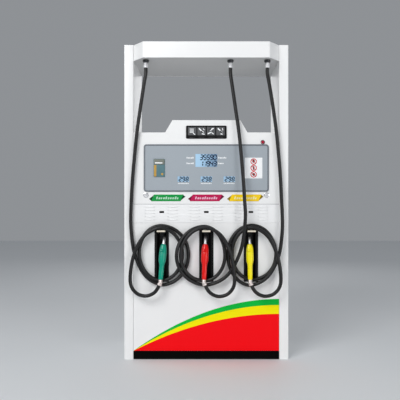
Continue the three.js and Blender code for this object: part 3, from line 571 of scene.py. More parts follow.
# %% Vinyl bands
panel_low, panel_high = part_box("lower_panel")
BAND_FOOT = panel_low.z
RED_TOP, YELLOW_TOP, GREEN_TOP = 257 * MM, 320 * MM, 363 * MM
RAMP_TOP = 2 * GREEN_TOP
printed = finish_of(
    "baked_enamel_with_vinyl_bands", "#f3f3f3", "#f8f8f7", 0.5, (0.3, 0.34), 0.006 * MM, 2 * MM,
    Specular_IOR_Level=0.14,
)
tree = printed.node_tree
shader = tree.nodes["Principled BSDF"]
enamel = shader.inputs["Base Color"].links[0].from_socket
gloss = shader.inputs["Roughness"].links[0].from_socket
place = add(tree, "SeparateXYZ", {0: add(tree, "TexCoord").outputs["Object"]})
run = add(
    tree,
    "MapRange",
    {0: place.outputs[0], 1: panel_low.x, 2: panel_high.x, 3: 1.0, 4: 0.0},
    clamp=False,
)
square = add(tree, "Math", {0: run.outputs[0], 1: 2.0}, operation="POWER")
parabola = add(tree, "Math", {0: 1.0, 1: square.outputs[0]}, operation="SUBTRACT")
above = add(tree, "Math", {0: place.outputs[2], 1: BAND_FOOT}, operation="SUBTRACT")
height = add(tree, "Math", {0: parabola.outputs[0], 1: RAMP_TOP}, operation="MULTIPLY")
ratio = add(tree, "Math", {0: above.outputs[0], 1: height.outputs[0]}, operation="DIVIDE")
bands = add(tree, "ValToRGB", {0: ratio.outputs[0]})
bands.color_ramp.interpolation = "CONSTANT"
bands.color_ramp.elements[0].color = linear("#ff0412")
bands.color_ramp.elements[1].position = RED_TOP / RAMP_TOP
bands.color_ramp.elements[1].color = linear("#fff200")
bands.color_ramp.elements.new(YELLOW_TOP / RAMP_TOP).color = linear("#05c040")
low_enough = add(tree, "Math", {0: ratio.outputs[0], 1: GREEN_TOP / RAMP_TOP}, operation="LESS_THAN")
outside = add(tree, "Math", {0: place.outputs[1], 1: FRONT + 0.3 * MM}, operation="LESS_THAN")
on_vinyl = add(tree, "Math", {0: low_enough.outputs[0], 1: outside.outputs[0]}, operation="MULTIPLY")
colour = add(tree, "Mix", {0: on_vinyl.outputs[0], 6: enamel, 7: bands.outputs[0]}, data_type="RGBA")
shine = add(tree, "Mix", {0: on_vinyl.outputs[0], 2: gloss, 3: 0.24})
tree.links.new(colour.outputs[2], shader.inputs["Base Color"])
tree.links.new(shine.outputs[0], shader.inputs["Roughness"])
softened("lower_panel", 0.5 * MM, printed)
print("bands rise to", round((BAND_FOOT + GREEN_TOP) / MM), "mm above the floor")

# %% [markdown]
# ## Louvres
# Six groups of pressed louvres cool the hydraulics. A press slits the sheet and pushes out the
# metal above the slit, so each louvre is half of a long dome, open below. The hood is a grid over
# its length and its rise: the profile's bulge fades to nothing at both ends, as a sine does.
# Three narrow slots between the groups take a key; in each, a black plate just inside the mouth is painted
# shade for the dark inside of the slot. A thin grey gasket closes the joint between the head and the vent
# panel.

# %% Pressed louvre hoods
LOUVRE_LENGTH, LOUVRE_RISE, LOUVRE_PROUD = 72 * MM, 6 * MM, 2.2 * MM
vent_low, vent_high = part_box("vent_panel")
LOUVRE_GROUPS = np.array([-396, -236, -79, 79, 236, 396]) * MM
LOUVRE_SLITS = vent_low.z + 19.5 * MM + np.arange(5) * 22.5 * MM


def hood(x, z):
    """Length u and rise v, each 0 to 1: depth sin(pi u) times a quarter circle of v."""
    u, v = np.meshgrid(np.linspace(0, 1, 17), np.linspace(0, 1, 6))
    bulge = np.sin(np.pi * u)
    out = LOUVRE_PROUD * bulge * np.cos(v * np.pi / 2)
    up = z - 1 * MM + LOUVRE_RISE * bulge * np.sin(v * np.pi / 2)
    shape = np.stack([x + (u - 0.5) * LOUVRE_LENGTH, FRONT - 0.2 * MM - out, up], -1)
    behind = shape + np.array([0, 0.8 * MM, -0.4 * MM])
    rows = np.concatenate([shape, behind[::-1]])
    return grid(rows, close_rows=True, close_columns=False)


hoods = [hood(x, z) for x in LOUVRE_GROUPS for z in LOUVRE_SLITS]
piece("louvre_hoods", hoods, "cabinet", vent_enamel, smooth=60)
print(len(hoods), "louvres")

# Each key slot gets a black plate just inside its mouth: painted shade for the dark inside of the slot.
slot_shade_finish = finish_of("black_plate_painted_slot_shade", "#050505", "#0a0a0a", 0.05, (0.6, 0.7), Specular_IOR_Level=0.1)
gasket = finish_of("epdm_gasket_grey", "#8f9194", "#9a9b9e", 0.05, (0.5, 0.6))
KEY_SLOTS, KEY_SLOT_Z = np.array([-312, 0, 312]) * MM, vent_low.z + 75.5 * MM
KEY_HALF_WIDTH, KEY_HALF_HEIGHT = 16 * MM, 7 * MM
slot_shade_plates = []
for x in KEY_SLOTS:
    low, high = KEY_SLOT_Z - KEY_HALF_HEIGHT, KEY_SLOT_Z + KEY_HALF_HEIGHT
    mouth = rounded_rectangle(x - KEY_HALF_WIDTH, x + KEY_HALF_WIDTH, low, high, 1 * MM)
    slot_shade_plates.append(plate(mouth, FRONT - 0.4 * MM, FRONT + 3 * MM, 0.2 * MM))
piece("key_slot_painted_shade", slot_shade_plates, "cabinet", slot_shade_finish, smooth=20)
strip = rounded_rectangle(vent_low.x, vent_high.x, vent_high.z - 1 * MM, vent_high.z + 1.8 * MM, 0.6 * MM)
strip = plate(strip, FRONT - 0.4 * MM, FRONT + 1 * MM, 0.2 * MM)
piece("head_joint_gasket", [strip], "cabinet", gasket)
print(len(slot_shade_plates), "key slots")

# %% [markdown]
# ## Display
# The display is a moulded frame round a printed polycarbonate sheet. Behind windows in the sheet
# are liquid crystal modules, lit from behind in pale blue. Their digits have seven segments, each
# a thin bar with pointed ends, so a digit is a choice among seven copies of one outline.

# %% Frame, sheet and glass
bezel_plastic = finish_of(
    "polycarbonate_frame_grained", "#6f757b", "#7d838a", 0.12, (0.4, 0.5), 0.02 * MM, 1.2 * MM
)
display_sheet = finish_of(
    "printed_polycarbonate_sheet", "#a3abb2", "#a6aeb5", 0.6, (0.38, 0.42), 0.003 * MM, 3 * MM
)
bezel_low, bezel_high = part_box("display_bezel")
sheet_low, sheet_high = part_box("display_plate")
outer = rounded_rectangle(bezel_low.x, bezel_high.x, bezel_low.z, bezel_high.z, 20 * MM, 8)
inner = rounded_rectangle(
    sheet_low.x - FIT, sheet_high.x + FIT, sheet_low.z - FIT, sheet_high.z + FIT, 12 * MM, 8
)
piece(
    "display_frame",
    [ring(outer, inner, bezel_low.y, bezel_high.y, 2.5 * MM, 4)],
    "cabinet",
    bezel_plastic,
    ["display_bezel"],
)
softened("display_plate", 0.4 * MM, display_sheet)

# %% Crystal modules
# The large module's glow is painted strongest at its left edge and fading to the right: painted light on its
# left side.
crystal = finish_of("liquid_crystal_backlit", "#7290ae", "#7896b4", 0.05, (0.3, 0.36))
large_crystal_painted_light = finish_of("liquid_crystal_painted_light_fade", "#7290ae", "#7896b4", 0.05, (0.3, 0.36))
for made in (crystal, large_crystal_painted_light):
    shader = made.node_tree.nodes["Principled BSDF"]
    shader.inputs["Emission Color"].default_value = linear("#c4ebff")
    shader.inputs["Emission Strength"].default_value = 0.3
tree = large_crystal_painted_light.node_tree
across = add(tree, "SeparateXYZ", {0: add(tree, "TexCoord").outputs["Object"]}).outputs[0]
# Painted light: the glow's strength falls from the module's left edge to its right.
fade = add(
    tree, "MapRange", {0: across, 1: -60 * MM, 2: 60 * MM, 3: 0.42, 4: 0.04}, interpolation_type="SMOOTHSTEP"
)
tree.links.new(fade.outputs[0], shader.inputs["Emission Strength"])
softened("sale_display", 0.3 * MM, large_crystal_painted_light)
for n in (1, 2, 3):
    softened(f"price_display_{n}", 0.3 * MM, crystal)
print("display", round((bezel_high.x - bezel_low.x) / MM), "mm wide, with four crystal modules")

# %% Seven-segment digits
segment_ink = finish_of(
    "liquid_crystal_dark_segment", "#040c26", "#081230", 0.02, (0.3, 0.4), Specular_IOR_Level=0.1
)
LIT = {
    "0": "abcdef", "1": "bc", "2": "abdeg", "3": "abcdg", "4": "bcfg",
    "5": "acdfg", "6": "acdefg", "7": "abc", "8": "abcdefg", "9": "abcdfg",
}
GLASS_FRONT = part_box("sale_display")[0].y
DIGIT_WIDTH = 0.55
SEGMENT = 6.8 * MM


def segment(start, end, thickness):
    """A bar with pointed ends: six corners along the way from start to end."""
    start, end = np.array(start), np.array(end)
    way = (end - start) / np.linalg.norm(end - start)
    half = thickness / 2
    side = np.array([-way[1], way[0]]) * half
    tip = way * half
    corners = [start, start + tip - side, end - tip - side, end, end - tip + side, start + tip + side]
    return np.array(corners)


def digit(character, x, z, height, stroke):
    """The plates of one digit whose lower left corner is at x, z, leaning as display digits do."""
    half, wide, gap = height / 2, height * DIGIT_WIDTH, height * 0.02
    ends = {
        "a": ((gap, height), (wide - gap, height)), "b": ((wide, height - gap), (wide, half + gap)),
        "c": ((wide, half - gap), (wide, gap)), "d": ((gap, 0), (wide - gap, 0)),
        "e": ((0, half - gap), (0, gap)), "f": ((0, height - gap), (0, half + gap)),
        "g": ((gap, half), (wide - gap, half)),
    }
    made = []
    for name in LIT[character]:
        flat = segment(*ends[name], stroke)
        flat[:, 0] += 0.1 * flat[:, 1]
        outline = flat[::-1] if turning(flat) < 0 else flat
        made.append(plate(outline + [x, z], GLASS_FRONT - 0.3 * MM, GLASS_FRONT + 0.2 * MM, 0.1 * MM, 1))
    return made


def turning(outline):
    """Twice the signed area of an outline: positive if it runs anticlockwise."""
    following = np.roll(outline, -1, 0)
    return float((outline[:, 0] * following[:, 1] - following[:, 0] * outline[:, 1]).sum())


def number_on(text, height, pitch, right, base, stroke):
    """The digits of a number, set leftwards from the right, each a pitch from the next. A full
    stop is a square point that takes no room of its own."""
    made, x = [], right - height * DIGIT_WIDTH
    for character in reversed(text):
        if character == ".":
            point = x + pitch - 7 * MM
            dot = rounded_rectangle(point, point + 4 * MM, base, base + 4 * MM, 0.5 * MM, 2)
            made.append(plate(dot, GLASS_FRONT - 0.3 * MM, GLASS_FRONT + 0.2 * MM, 0.1 * MM, 1))
            continue
        made += digit(character, x, base, height, stroke)
        x -= pitch
    return made


# %% The numbers shown
SALE_FOOT, PRICE_FOOT, PRICE_PITCH = bezel_low.z + 175 * MM, bezel_low.z + 70 * MM, 161 * MM
figures = number_on("3559.0", 33 * MM, 23.6 * MM, 68 * MM, SALE_FOOT + 50 * MM, SEGMENT)
figures += number_on("119.43", 33 * MM, 23.6 * MM, 68 * MM, SALE_FOOT + 6 * MM, SEGMENT)
piece("sale_figures", figures, "cabinet", segment_ink, smooth=20)
for n in (1, 2, 3):
    right = (n - 2) * PRICE_PITCH + 33 * MM
    price = number_on("2.98", 28 * MM, 24 * MM, right, PRICE_FOOT + 5 * MM, SEGMENT)
    piece(f"price_figures_{n}", price, "cabinet", segment_ink, smooth=20)
print(len(figures), "plates in the large display")

# %% [markdown]
# ## Printing on the display
# Beside each number is a short printed caption. Captions here are generic: a row of small blocks
# of uneven width, which reads as a line of small print from a step away and says nothing.

# %% Captions
print_white = finish_of("screen_print_white", "#f6f9fb", "#fcfdfd", 0.05, (0.35, 0.45))


def caption(x0, x1, z, height, front, lean=0.0):
    """A row of blocks from x0 to x1 on the line z; block widths follow the square of a sine."""
    count = max(3, round((x1 - x0) / (height * 0.85)))
    wide = 0.62 + 0.22 * np.sin(1.7 * np.arange(count)) ** 2
    edges = x0 + (x1 - x0) * np.arange(count) / count
    tall = height * (0.72 + 0.28 * (np.arange(count) % 4 == 0))
    step = (x1 - x0) / count
    blocks = []
    for x, w, h in zip(edges, wide * step, tall):
        block = rounded_rectangle(x, x + w, z, z + h, 0.15 * height, 2)
        block[:, 0] += lean * (block[:, 1] - z)
        blocks.append(plate(block, front - 0.2 * MM, front + 0.2 * MM, 0.05 * MM, 1))
    return blocks


SHEET_FRONT = sheet_low.y
lines = []
for x0, x1, z in (
    (-138, -86, 1405), (84, 142, 1405), (-138, -86, 1366), (84, 122, 1366),
    (-198, -122, 1227), (-38, 38, 1227), (122, 198, 1227),
):
    tall = 8 * MM if z < 1300 else 12 * MM
    lines += caption(x0 * MM, x1 * MM, z * MM, tall, SHEET_FRONT)
piece("display_captions", lines, "cabinet", print_white)
print(len(lines), "caption blocks")

# %% [markdown]
# ## Notice plate
# A white plate at the right carries three prohibition signs. Each is a red ring with a bar across
# it over a plain dark shape: a drop, a tall rounded block and a disc.

# %% Plate, rings and shapes
sign_red = finish_of("screen_print_red", "#cf0d18", "#d8141f", 0.05, (0.35, 0.45))
sign_black = finish_of("screen_print_black", "#232325", "#2c2c2e", 0.05, (0.35, 0.45))
NOTICE_X, NOTICE_SIGNS = 331 * MM, (1384, 1339, 1294)
SIGN_RADIUS, SIGN_BAND = 22 * MM, 6 * MM
SIGN_BAR = 0.7 * SIGN_RADIUS
notice = rounded_rectangle(270 * MM, 392 * MM, 1266 * MM, 1411 * MM, 3 * MM)
notice_front = SHEET_FRONT - 1 * MM
piece(
    "notice_plate",
    [plate(notice, notice_front, SHEET_FRONT + 0.2 * MM, 0.4 * MM)],
    "cabinet",
    print_white,
)


def print_on(outline, front):
    """A printed shape: a very thin plate on a surface."""
    return plate(outline, front - 0.2 * MM, front + 0.2 * MM, 0.05 * MM, 1)


red, dark = [], []
drop_turn = np.linspace(0, 2 * np.pi, 24, endpoint=False)
drop = np.column_stack([np.cos(drop_turn), np.sin(drop_turn) * (1 + 0.6 * (np.sin(drop_turn) > 0))])
shapes = [drop * 9 * MM, rounded_rectangle(-0.006, 0.006, -0.012, 0.012, 0.002), circle(10 * MM)]
for z, shape in zip(NOTICE_SIGNS, shapes):
    centre = np.array([NOTICE_X, z * MM])
    outer, inner = circle(SIGN_RADIUS, 40), circle(SIGN_RADIUS - SIGN_BAND, 40)
    red.append(ring(outer + centre, inner + centre, notice_front - 0.35 * MM, notice_front, 0.05 * MM, 1))
    bar = segment((-SIGN_BAR, SIGN_BAR), (SIGN_BAR, -SIGN_BAR), SIGN_BAND * 0.8)
    red.append(print_on(bar + centre, notice_front - 0.15 * MM))
    dark.append(print_on(shape + centre, notice_front))
piece("notice_rings", red, "cabinet", sign_red, smooth=20)
piece("notice_shapes", dark, "cabinet", sign_black, smooth=20)
print(len(dark), "signs")

# %% [markdown]
# ## Strip of instructions
# Over the display a black moulded strip holds four small plates that show how to fill up. The
# drawings are simple and generic: lines of print, and a nozzle held at different angles.

# %% Strip, plates and drawings
black_plastic = finish_of(
    "abs_black_moulded", "#060606", "#0f0f10", 0.08, (0.34, 0.48), 0.015 * MM, 1.5 * MM,
    Specular_IOR_Level=0.2,
)
plate_grey = finish_of("anodised_plate_dark_grey", "#4a4b4d", "#59595b", 0.05, (0.4, 0.5))
strip_low, strip_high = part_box("pictogram_panel")
STRIP_MIDDLE = (strip_low.z + strip_high.z) / 2
CELL_HALF, CELL_PITCH = 29 * MM, 66 * MM
cell_front = strip_low.y + 0.4 * MM
softened("pictogram_panel", 0.6 * MM, black_plastic)


def capsule(start, end, width, steps=6):
    """A bar with round ends: two half circles about its ends, joined by straight sides."""
    start, end = np.array(start), np.array(end)
    way = math.atan2(*(end - start)[::-1])
    turn = np.linspace(-np.pi / 2, np.pi / 2, steps + 1) + way
    half = width / 2
    tip = end + half * np.column_stack([np.cos(turn), np.sin(turn)])
    root = start + half * np.column_stack([np.cos(turn + np.pi), np.sin(turn + np.pi)])
    return np.vstack([tip, root])


DARK_STROKES = [[], [((-2, 0), (10, -12), 7)], [((-14, 8), (-2, 18), 8)], [((0, 2), (10, -10), 7)]]
DRAWINGS = [
    [((-16, z), (10, z), 4) for z in (16, 8, 0, -8)] + [((8, -14), (18, -22), 6)],
    [((-16, 18), (0, 2), 9), ((0, 2), (14, -6), 6), ((12, 18), (18, 10), 5), ((4, -18), (18, -20), 7)],
    [((-20, -16), (2, -6), 8), ((2, -6), (16, -18), 6), ((2, 14), (16, 20), 8), ((-6, 4), (6, 10), 4)],
    [((-16, 18), (0, 4), 9), ((0, 4), (12, -6), 5), ((14, 20), (16, 8), 5), ((2, -18), (12, -20), 7)],
]
cells, drawings, darks, labels = [], [], [], []
for step, strokes, dark_strokes in zip((-1.5, -0.5, 0.5, 1.5), DRAWINGS, DARK_STROKES):
    x = step * CELL_PITCH
    frame_of_cell = rounded_rectangle(
        x - CELL_HALF, x + CELL_HALF, STRIP_MIDDLE - 22 * MM, STRIP_MIDDLE + 35 * MM, 2 * MM
    )
    cells.append(plate(frame_of_cell, cell_front - 0.8 * MM, cell_front + 0.8 * MM, 0.3 * MM))
    for start, end, width in strokes:
        stroke = capsule(np.array(start) * MM, np.array(end) * MM, width * MM)
        drawings.append(print_on(stroke + [x, STRIP_MIDDLE + 6 * MM], cell_front - 0.8 * MM))
    for start, end, width in dark_strokes:
        stroke = capsule(np.array(start) * MM, np.array(end) * MM, width * MM)
        darks.append(print_on(stroke + [x, STRIP_MIDDLE + 6 * MM], cell_front - 1 * MM))
    labels += caption(x - 20 * MM, x + 18 * MM, strip_low.z + 8 * MM, 3 * MM, strip_low.y)
piece("instruction_plates", cells, "cabinet", plate_grey, smooth=20)
piece("instruction_drawings", drawings, "cabinet", print_white, smooth=20)
piece("instruction_shadows", darks, "cabinet", sign_black, smooth=20)
piece("instruction_labels", labels, "cabinet", plate_grey, smooth=20)
print(len(cells), "instruction plates with", len(drawings), "strokes")

# %% [markdown]
# ## Card reader
# The reader is a separate moulding let into the display: a grey hood with a lit slot, a teal
# face, an amber strip that shows which way the card goes, and a small amber key.

# %% Reader
reader_teal = finish_of(
    "polycarbonate_teal_grained", "#56787f", "#62868d", 0.06, (0.3, 0.4), 0.01 * MM, 1 * MM
)
reader_grey = finish_of("abs_grey_moulded", "#737870", "#7f847b", 0.06, (0.4, 0.5), 0.015 * MM, 1 * MM)
amber = finish_of("acrylic_amber", "#bf9544", "#c9a254", 0.04, (0.2, 0.3), Coat_Weight=0.3)
reader_low, reader_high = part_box("card_reader")


def on_reader(x0, x1, z0, z1, radius, proud, edge):
    """A rounded plate on the reader's face, placed from the face's lower left corner."""
    corner = np.array([reader_low.x, reader_low.z])
    outline = rounded_rectangle(x0 * MM, x1 * MM, z0 * MM, z1 * MM, radius * MM) + corner
    return plate(outline, reader_low.y - proud * MM, reader_low.y + 4 * MM, edge * MM)


face = rounded_rectangle(reader_low.x, reader_high.x, reader_low.z, reader_high.z, 4 * MM)
piece(
    "reader_face",
    [plate(face, reader_low.y, reader_high.y, 1.5 * MM)],
    "cabinet",
    reader_teal,
    ["card_reader"],
)
piece("reader_hood", [on_reader(2, 76, 86, 123, 4, 3, 1.5)], "cabinet", reader_grey)
piece("reader_slot", [on_reader(9, 62, 93, 101, 3, 3.4, 0.3)], "cabinet", print_white)
marks = [on_reader(2, 19, 2, 83, 2, 1, 0.5)]
key = circle(8 * MM) + [reader_low.x + 60 * MM, reader_low.z + 19 * MM]
marks.append(plate(key, reader_low.y - 3 * MM, reader_low.y + 1 * MM, 1.5 * MM))
piece("reader_marks", marks, "cabinet", amber)
print("reader", round((reader_high.x - reader_low.x) / MM), "mm wide")

# %% [markdown]
# ## Product plates
# Under the display each product has a slanted plate, like a ribbon whose ends fold back behind
# it: a bright plate with a tail at each side. The tails lie flat, and their darker tone is painted
# shade for the fold. They are bent from painted aluminium.

# %% Slanted plates with folded tails
PLATE_FOOT, PLATE_TALL, PLATE_HALF = 1107 * MM, 46 * MM, 103 * MM
PLATE_CENTRES = np.array([-274, -2, 272]) * MM
# Each entry: name, plate colour, a darker copy of it as painted shade for the tails, caption colour.
PLATE_COLOURS = [
    ("green", "#079843", "#05401f", "#b4dfc2"), ("crimson", "#c0064f", "#6a0730", "#eab5cb"),
    ("yellow", "#fcd304", "#8a7410", "#fdf0b0"),
]

for centre, (colour, bright, painted_shade_tone, pale) in zip(PLATE_CENTRES, PLATE_COLOURS):
    top = PLATE_FOOT + PLATE_TALL
    paint = finish_of(f"painted_aluminium_{colour}", bright, bright, 0.1, (0.3, 0.4), Specular_IOR_Level=0.3)
    # The tails take the darker copy of the plate colour: painted shade for the fold.
    tail_painted_shade = finish_of(
        f"painted_aluminium_{colour}_painted_shade", painted_shade_tone, painted_shade_tone, 0.1, (0.5, 0.6), Specular_IOR_Level=0.2
    )
    foot_left, top_left = centre - PLATE_HALF - 9 * MM, centre - PLATE_HALF + 10 * MM
    foot_right, top_right = centre + PLATE_HALF - 9 * MM, centre + PLATE_HALF + 10 * MM
    corners = [(top_right, top), (top_left, top), (foot_left, PLATE_FOOT), (foot_right, PLATE_FOOT)]
    body = rounded(corners, 0.6 * MM, 2)
    ribbon = plate(body, FRONT - 3 * MM, FRONT - 1.2 * MM, 0.4 * MM)
    piece(f"product_plate_{colour}", [ribbon], "cabinet", paint)
    left_tip = (foot_left - 15 * MM, PLATE_FOOT + 16 * MM)
    right_tip = (top_right + 15 * MM, top - 14 * MM)
    tails = [
        [(top_left + 4 * MM, top), left_tip, (foot_left + 4 * MM, PLATE_FOOT)],
        [(foot_right - 4 * MM, PLATE_FOOT), right_tip, (top_right - 4 * MM, top)],
    ]
    tails = [rounded(tail, 0.6 * MM, 2) for tail in tails]
    tail_plates = [plate(tail, FRONT - 1.3 * MM, FRONT, 0.2 * MM) for tail in tails]
    piece(f"product_tails_{colour}", tail_plates, "cabinet", tail_painted_shade)
    print_pale = finish_of(
        f"screen_print_pale_{colour}", pale, pale, 0.1, (0.35, 0.45), Specular_IOR_Level=0.3
    )
    words = caption(centre - 78 * MM, centre + 82 * MM, PLATE_FOOT + 13 * MM, 19 * MM, FRONT - 3 * MM, 0.25)
    piece(f"product_caption_{colour}", words, "cabinet", print_pale)
print(len(PLATE_COLOURS), "product plates")

# %% [markdown]
# ## Stop button and locks
# The stop button is a glossy domed cap on a stem. The locks are plated discs in a dark ring. All
# are round; the cap, its collar and the lock rings are profiles turned about their own axes, which
# point out of the front, and the lock discs are copies of the frame's own.

# %% Button, locks and rings
stop_red = finish_of("abs_crimson_glossy", "#a8052c", "#b40a34", 0.01, (0.2, 0.26), Specular_IOR_Level=0.4)
chrome = finish_of("chromium_plate_polished", "#d4d4d6", "#dcdcde", 0.05, (0.08, 0.16), Metallic=1.0)
satin_chrome = finish_of("chromium_plate_satin", "#e2e2e4", "#ececee", 0.03, (0.4, 0.5), Metallic=1.0)
dark_rubber = finish_of("epdm_rubber_ring", "#1c1c1e", "#262628", 0.02, (0.5, 0.6))
OUT = (0, -1, 0)

button_low, button_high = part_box("stop_button")
button_x, button_z = (button_low.x + button_high.x) / 2, (button_low.z + button_high.z) / 2
cap_back = button_low.y + 9 * MM
dome = np.linspace(0, np.pi / 2, 8)
profile = [(5.5 * MM, cap_back - button_high.y), (5.5 * MM, 0), (10.5 * MM, 0), (10.5 * MM, 4 * MM)]
profile += [(10.5 * MM * math.cos(t), 4 * MM + 5 * MM * math.sin(t)) for t in dome[1:-1]]
profile += [(0.4 * MM, 9 * MM)]
cap = turned(profile, (button_x, cap_back, button_z), OUT)
piece("stop_cap", [cap], "stop", stop_red, ["stop_button"])


def turned_ring(profile, centre):
    """A closed profile of (radius, distance) in millimetres turned about the way out of the front."""
    profile = np.array(profile) * MM
    return grid(turned(profile, centre, OUT)[0].reshape(len(profile), -1, 3), close_rows=True)


collar = turned_ring([(11.5, 0.2), (15, 0.2), (15, 1), (14, 2), (11.5, 2)], (button_x, FRONT, button_z))
piece("stop_collar", [collar], "cabinet", dark_rubber)

for side in ("left", "right"):
    low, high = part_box(f"{side}_lock")
    softened(f"{side}_lock", 0.4 * MM, satin_chrome, smooth=40)
    centre = ((low.x + high.x) / 2, FRONT, high.z - 15 * MM)
    rim = turned_ring([(15.4, 0.1), (18.5, 0.1), (18.2, 1.6), (16, 2.2), (15.4, 1.6)], centre)
    piece(f"{side}_lock_ring", [rim], "cabinet", chrome, smooth=60)
    print(f"{side}_lock", "in its ring")

# %% [markdown]
# ## Boots and saddles
# Each nozzle hangs in a deep black moulding, and the hose rests on a cream bar across its top.

# %% Boots, flaps and saddles
flap_plastic = finish_of("acetal_dark_grey", "#202123", "#2c2d2f", 0.05, (0.4, 0.5), 0.01 * MM, 1 * MM)
cream_enamel = finish_of(
    "baked_enamel_cream", "#e2d8c4", "#eae2d2", 0.06, (0.25, 0.35), 0.006 * MM, 2 * MM, Coat_Weight=0.2
)
for n in (1, 2, 3):
    softened(f"boot_{n}", 1.2 * MM, black_plastic, segments=3)
    softened(f"boot_switch_{n}", 0.6 * MM, flap_plastic)
    softened(f"hose_saddle_{n}", 1.5 * MM, cream_enamel, segments=3)
print("three boots, flaps and saddles")

# %% [markdown]
# ## Nozzles
# An automatic nozzle is a cast aluminium valve body in a soft vinyl cover, coloured for its
# product. Its handle runs up from the swivel, the valve housing swells above it, and the spout
# leaves the top. The cover is one skin, so it is a loft: elliptical rings along the handle's axis,
# smoothed by subdivision. The guard and lever are sections carried along their own lines.


# %% Nozzle frames
NOZZLE_LEAN = math.radians(9)
NOZZLE_ROLLS = np.radians([4, 2, 0])
BALL_DISTANCE = 22 * MM


def nozzle_space(n):
    """The turn and origin of nozzle n: its ball, leaned back into the boot and then rolled."""
    lean, roll = -NOZZLE_LEAN, NOZZLE_ROLLS[n - 1]
    about_x = np.array([[1, 0, 0], [0, math.cos(lean), -math.sin(lean)], [0, math.sin(lean), math.cos(lean)]])
    about_y = np.array([[math.cos(roll), 0, math.sin(roll)], [0, 1, 0], [-math.sin(roll), 0, math.cos(roll)]])
    return about_x @ about_y, routes[n - 1][-1] + BALL_DISTANCE * end_direction(END_SIDES[n - 1])


def into(space, patch):
    """Moves a patch from a nozzle's own millimetres to its place on the dispenser, in metres."""
    turn, origin = space
    points, faces = patch
    return np.asarray(points) * MM @ turn.T + origin, faces


def oval(half_width, half_depth, count=16, square=2.4):
    """A superellipse: |x/a| ** p + |y/b| ** p = 1, a little squarer than an ellipse."""
    turn = np.arange(count) * 2 * np.pi / count
    c, s = np.cos(turn), np.sin(turn)
    bulge = (np.abs(c) ** square + np.abs(s) ** square) ** (-1 / square)
    return np.column_stack([half_width * bulge * c, half_depth * bulge * s])


# Height along the handle, depth of the ring's centre, half width and half depth.
COVER_RINGS = [
    (18, 0, 12, 12), (19, 0, 14.5, 14.5), (23, 0, 15.5, 15.5), (40, 0, 16.5, 16.5), (70, 0, 17.5, 17),
    (100, 0, 17, 17), (118, 0, 17.5, 17.5), (128, 1, 19.5, 19.5), (138, 2.5, 23.5, 24),
    (150, 4.5, 26, 26.5), (170, 6, 26.5, 27.5), (200, 7, 26.5, 27), (214, 7.5, 25.5, 26),
    (228, 8, 25, 24), (240, 8, 23, 21.5), (251, 8, 20.5, 19), (258, 8, 18.5, 17.5), (263, 8, 15.5, 15),
    (264, 8, 12, 12),
]
GUARD_LINE = [(14, 34), (34, 38), (54, 44), (64, 56), (67, 80), (67, 108), (58, 132), (38, 154), (20, 168)]
LEVER_LINE = [(46, 131), (47, 118), (46.5, 100), (45.5, 80), (43.5, 66), (44, 57)]
SPOUT_LINE = [(8, 246), (8, 258), (8, 272), (14, 294), (30, 311), (52, 321)]


def flat_curve(line, per_span=6):
    """A smooth curve through points of depth and height, in the plane x = 0."""
    return curve_through(np.insert(np.array(line, float), 0, 0.0, axis=1), per_span)


def cover_patch():
    """The vinyl cover: the rings of the valve body, each an oval at its own height."""
    return loft([level(oval(a, b) + [0, y], z) for z, y, a, b in COVER_RINGS])


def guard_patch():
    """The guard: an oval section carried round the outline of the trigger's loop."""
    return carried(flat_curve(GUARD_LINE), oval(7, 3.6, 12), (1, 0, 0))


# %% Covers, guards, levers, spouts
COVER_COLOURS = [
    ("green", "#00957a", "#00a084"), ("red", "#e00604", "#ec0f08"), ("yellow", "#f8e600", "#fdee06"),
]
lever_plastic = finish_of(
    "nylon_dark_grey_lever", "#242527", "#303133", 0.04, (0.35, 0.45), 0.01 * MM, 1 * MM
)
spout_metal = finish_of("aluminium_spout_drawn", "#dcdcde", "#e6e6e8", 0.03, (0.34, 0.44), Metallic=1.0)
swivel_plate = finish_of("nickel_plate_satin", "#e9dedb", "#f0e6e3", 0.02, (0.38, 0.5), Metallic=1.0)

